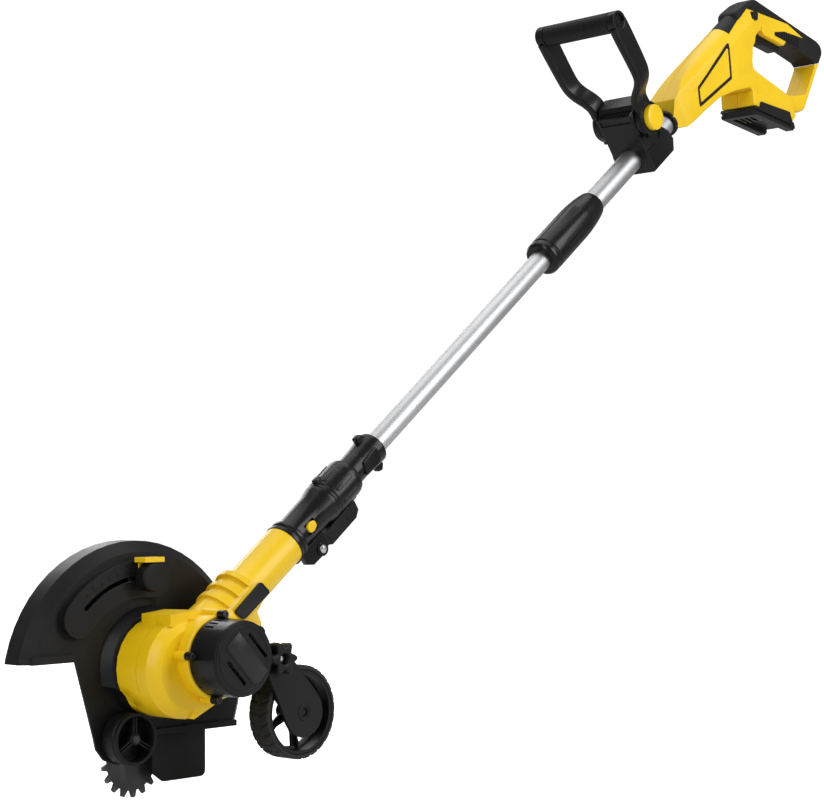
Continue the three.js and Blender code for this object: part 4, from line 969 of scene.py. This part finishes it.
def make_handle_trim():
    button = slab("lock_button_skin", rounded(button_square(5.5), 2.6), -25.2, -16, on_pole, 1.2)
    profile = [(0, -18), (5.4, -18), (5.4, 21), (0, 21)]
    stem = across("lock_button_stem", profile, *BUTTON, 36, place=on_pole)
    stand_in(gather(button, stem), "lock_off_button")
    pull = rounded([on_grip(-3, -13), on_grip(-5, -5), on_grip(3, 7), on_grip(22, 12.6), on_grip(58, 13),
                    on_grip(64, 9), on_grip(66, -12), on_grip(20, -14)], 4)
    stand_in(slab("trigger_skin", pull, -8.6, 8.6, on_pole, 2.2), "trigger")
    ledge = rounded([on_grip(4, -6), on_grip(34, -6), on_grip(36, -2.4), on_grip(64, -2), on_grip(59, 5),
                     on_grip(10, 4), on_grip(3, 0)], 1.2)
    for side in (-1, 1):
        y0, y1 = sorted((side * 9.3, side * 18.6))
        node = "handle_shell_left" if side < 0 else "handle_shell_right"
        trim(slab(f"trigger_ledge_{side}", ledge, y0, y1, on_pole, 0.8), node)
    refined("battery_dock", 0.7)
    for i, (s, n) in enumerate(HANDLE_SCREWS):
        screw_head(f"handle_screw_{i + 1}", s, BODY_HALF, n, on_pole, "handle_shell_right")
    profile = [(14.4, 1010), (17.6, 1010), (18.4, 1011), (18.4, 1015), (14.4, 1015), (14.4, 1010)]
    collar = about_pole("tube_collar", profile, 72, soft=0.5)
    trim(collar, "handle_shell_left", slot="black_matte")


# ---------------------------------------------------------------- stage, lights, camera
FLOOR_GLOW = 0.85                          # added to the floor for camera rays only
WORLD_LIGHT, WORLD_SHOWN = 0.28, 1.1       # the world's strength as a light, and as seen


def make_stage():
    """A pale floor and a white world, both brighter to the camera than they light the part."""
    floor_z = cad_box[0].z - 0.0005
    bm = bmesh.new()
    bmesh.ops.create_circle(bm, cap_ends=True, segments=96, radius=40)
    bmesh.ops.translate(bm, verts=bm.verts, vec=Vector((0, 0, floor_z)))
    floor = new_object("floor", bm)
    material, nodes, links, shader = node_tree("floor_white")
    pale = ramp(nodes, links, noise(nodes, links, 0.6), (0.72, 0.72, 0.72), (0.75, 0.75, 0.75))
    links.new(pale, shader.inputs["Base Color"])
    shader.inputs["Roughness"].default_value = 0.9
    shader.inputs["Emission Color"].default_value = (1, 1, 1, 1)
    glow = nodes.new("ShaderNodeMath")
    glow.operation = "MULTIPLY"
    glow.inputs[1].default_value = FLOOR_GLOW
    links.new(nodes.new("ShaderNodeLightPath").outputs["Is Camera Ray"], glow.inputs[0])
    links.new(glow.outputs["Value"], shader.inputs["Emission Strength"])
    paint(floor, material)
    world = bpy.data.worlds.new("studio")
    bpy.context.scene.world = world
    world.use_nodes = True
    tree = world.node_tree
    seen = tree.nodes.new("ShaderNodeLightPath")
    lit, shown = tree.nodes["Background"], tree.nodes.new("ShaderNodeBackground")
    lit.inputs["Color"].default_value = (1, 1, 1, 1)
    lit.inputs["Strength"].default_value = WORLD_LIGHT
    shown.inputs["Color"].default_value = (1, 1, 1, 1)
    shown.inputs["Strength"].default_value = WORLD_SHOWN
    mix = tree.nodes.new("ShaderNodeMixShader")
    tree.links.new(seen.outputs["Is Camera Ray"], mix.inputs["Fac"])
    tree.links.new(lit.outputs["Background"], mix.inputs[1])
    tree.links.new(shown.outputs["Background"], mix.inputs[2])
    tree.links.new(mix.outputs["Shader"], tree.nodes["World Output"].inputs["Surface"])


def area_light(name, location, target, size, power):
    light = bpy.data.lights.new(name, "AREA")
    light.shape = "RECTANGLE"
    light.size, light.size_y = size
    light.energy = power
    obj = bpy.data.objects.new(name, light)
    obj.location = location
    obj.rotation_euler = (Vector(target) - Vector(location)).to_track_quat("-Z", "Y").to_euler()
    bpy.context.scene.collection.objects.link(obj)


def make_lights():
    middle = (cad_box[0] + cad_box[1]) / 2
    area_light("key", middle + Vector((0.9, -2.6, 1.3)), middle, (1.4, 2.2), 62)
    area_light("left_strip", middle + Vector((-2.6, -0.7, 1.0)), middle, (0.5, 2.4), 26)
    area_light("top", middle + Vector((0.2, 0.4, 2.6)), middle, (2.4, 2.4), 34)
    area_light("back", middle + Vector((0.6, 2.6, 1.2)), middle, (1.6, 2.0), 28)


YAW, PITCH, ROLL = math.radians(46.44), math.radians(2.76), math.radians(-0.449)
CAMERA_PLACE = Vector((-2.2859, -1.4721, -0.6334))


def make_camera():
    camera = bpy.data.cameras.new("camera")
    camera.sensor_fit = "HORIZONTAL"
    camera.sensor_width = 36
    camera.lens = 84.7
    obj = bpy.data.objects.new("camera", camera)
    bpy.context.scene.collection.objects.link(obj)
    view = Vector((math.sin(YAW) * math.cos(PITCH), math.cos(YAW) * math.cos(PITCH), math.sin(PITCH)))
    right = Vector((math.cos(YAW), -math.sin(YAW), 0))
    up = right.cross(view)
    right, up = (right * math.cos(ROLL) + up * math.sin(ROLL), up * math.cos(ROLL) - right * math.sin(ROLL))
    turned = Matrix((right, up, -view)).transposed()
    obj.matrix_world = Matrix.Translation(CAMERA_PLACE) @ turned.to_4x4()
    bpy.context.scene.camera = obj


# ---------------------------------------------------------------- everything
for node_name, node in frame["nodes"].items():
    for material_slot in node.material_slots:
        material_slot.link = "OBJECT"
        material_slot.material = FINISH[SLOT_OF[node_name]]

make_camera()
make_cap()
make_head()
make_guard()
make_front_wheel()
make_rear_wheel()
make_pole()
make_coupling()
make_d_handle()
make_mount()
make_handle()
make_stage()
make_lights()
bpy.context.scene.view_settings.view_transform = "Standard"
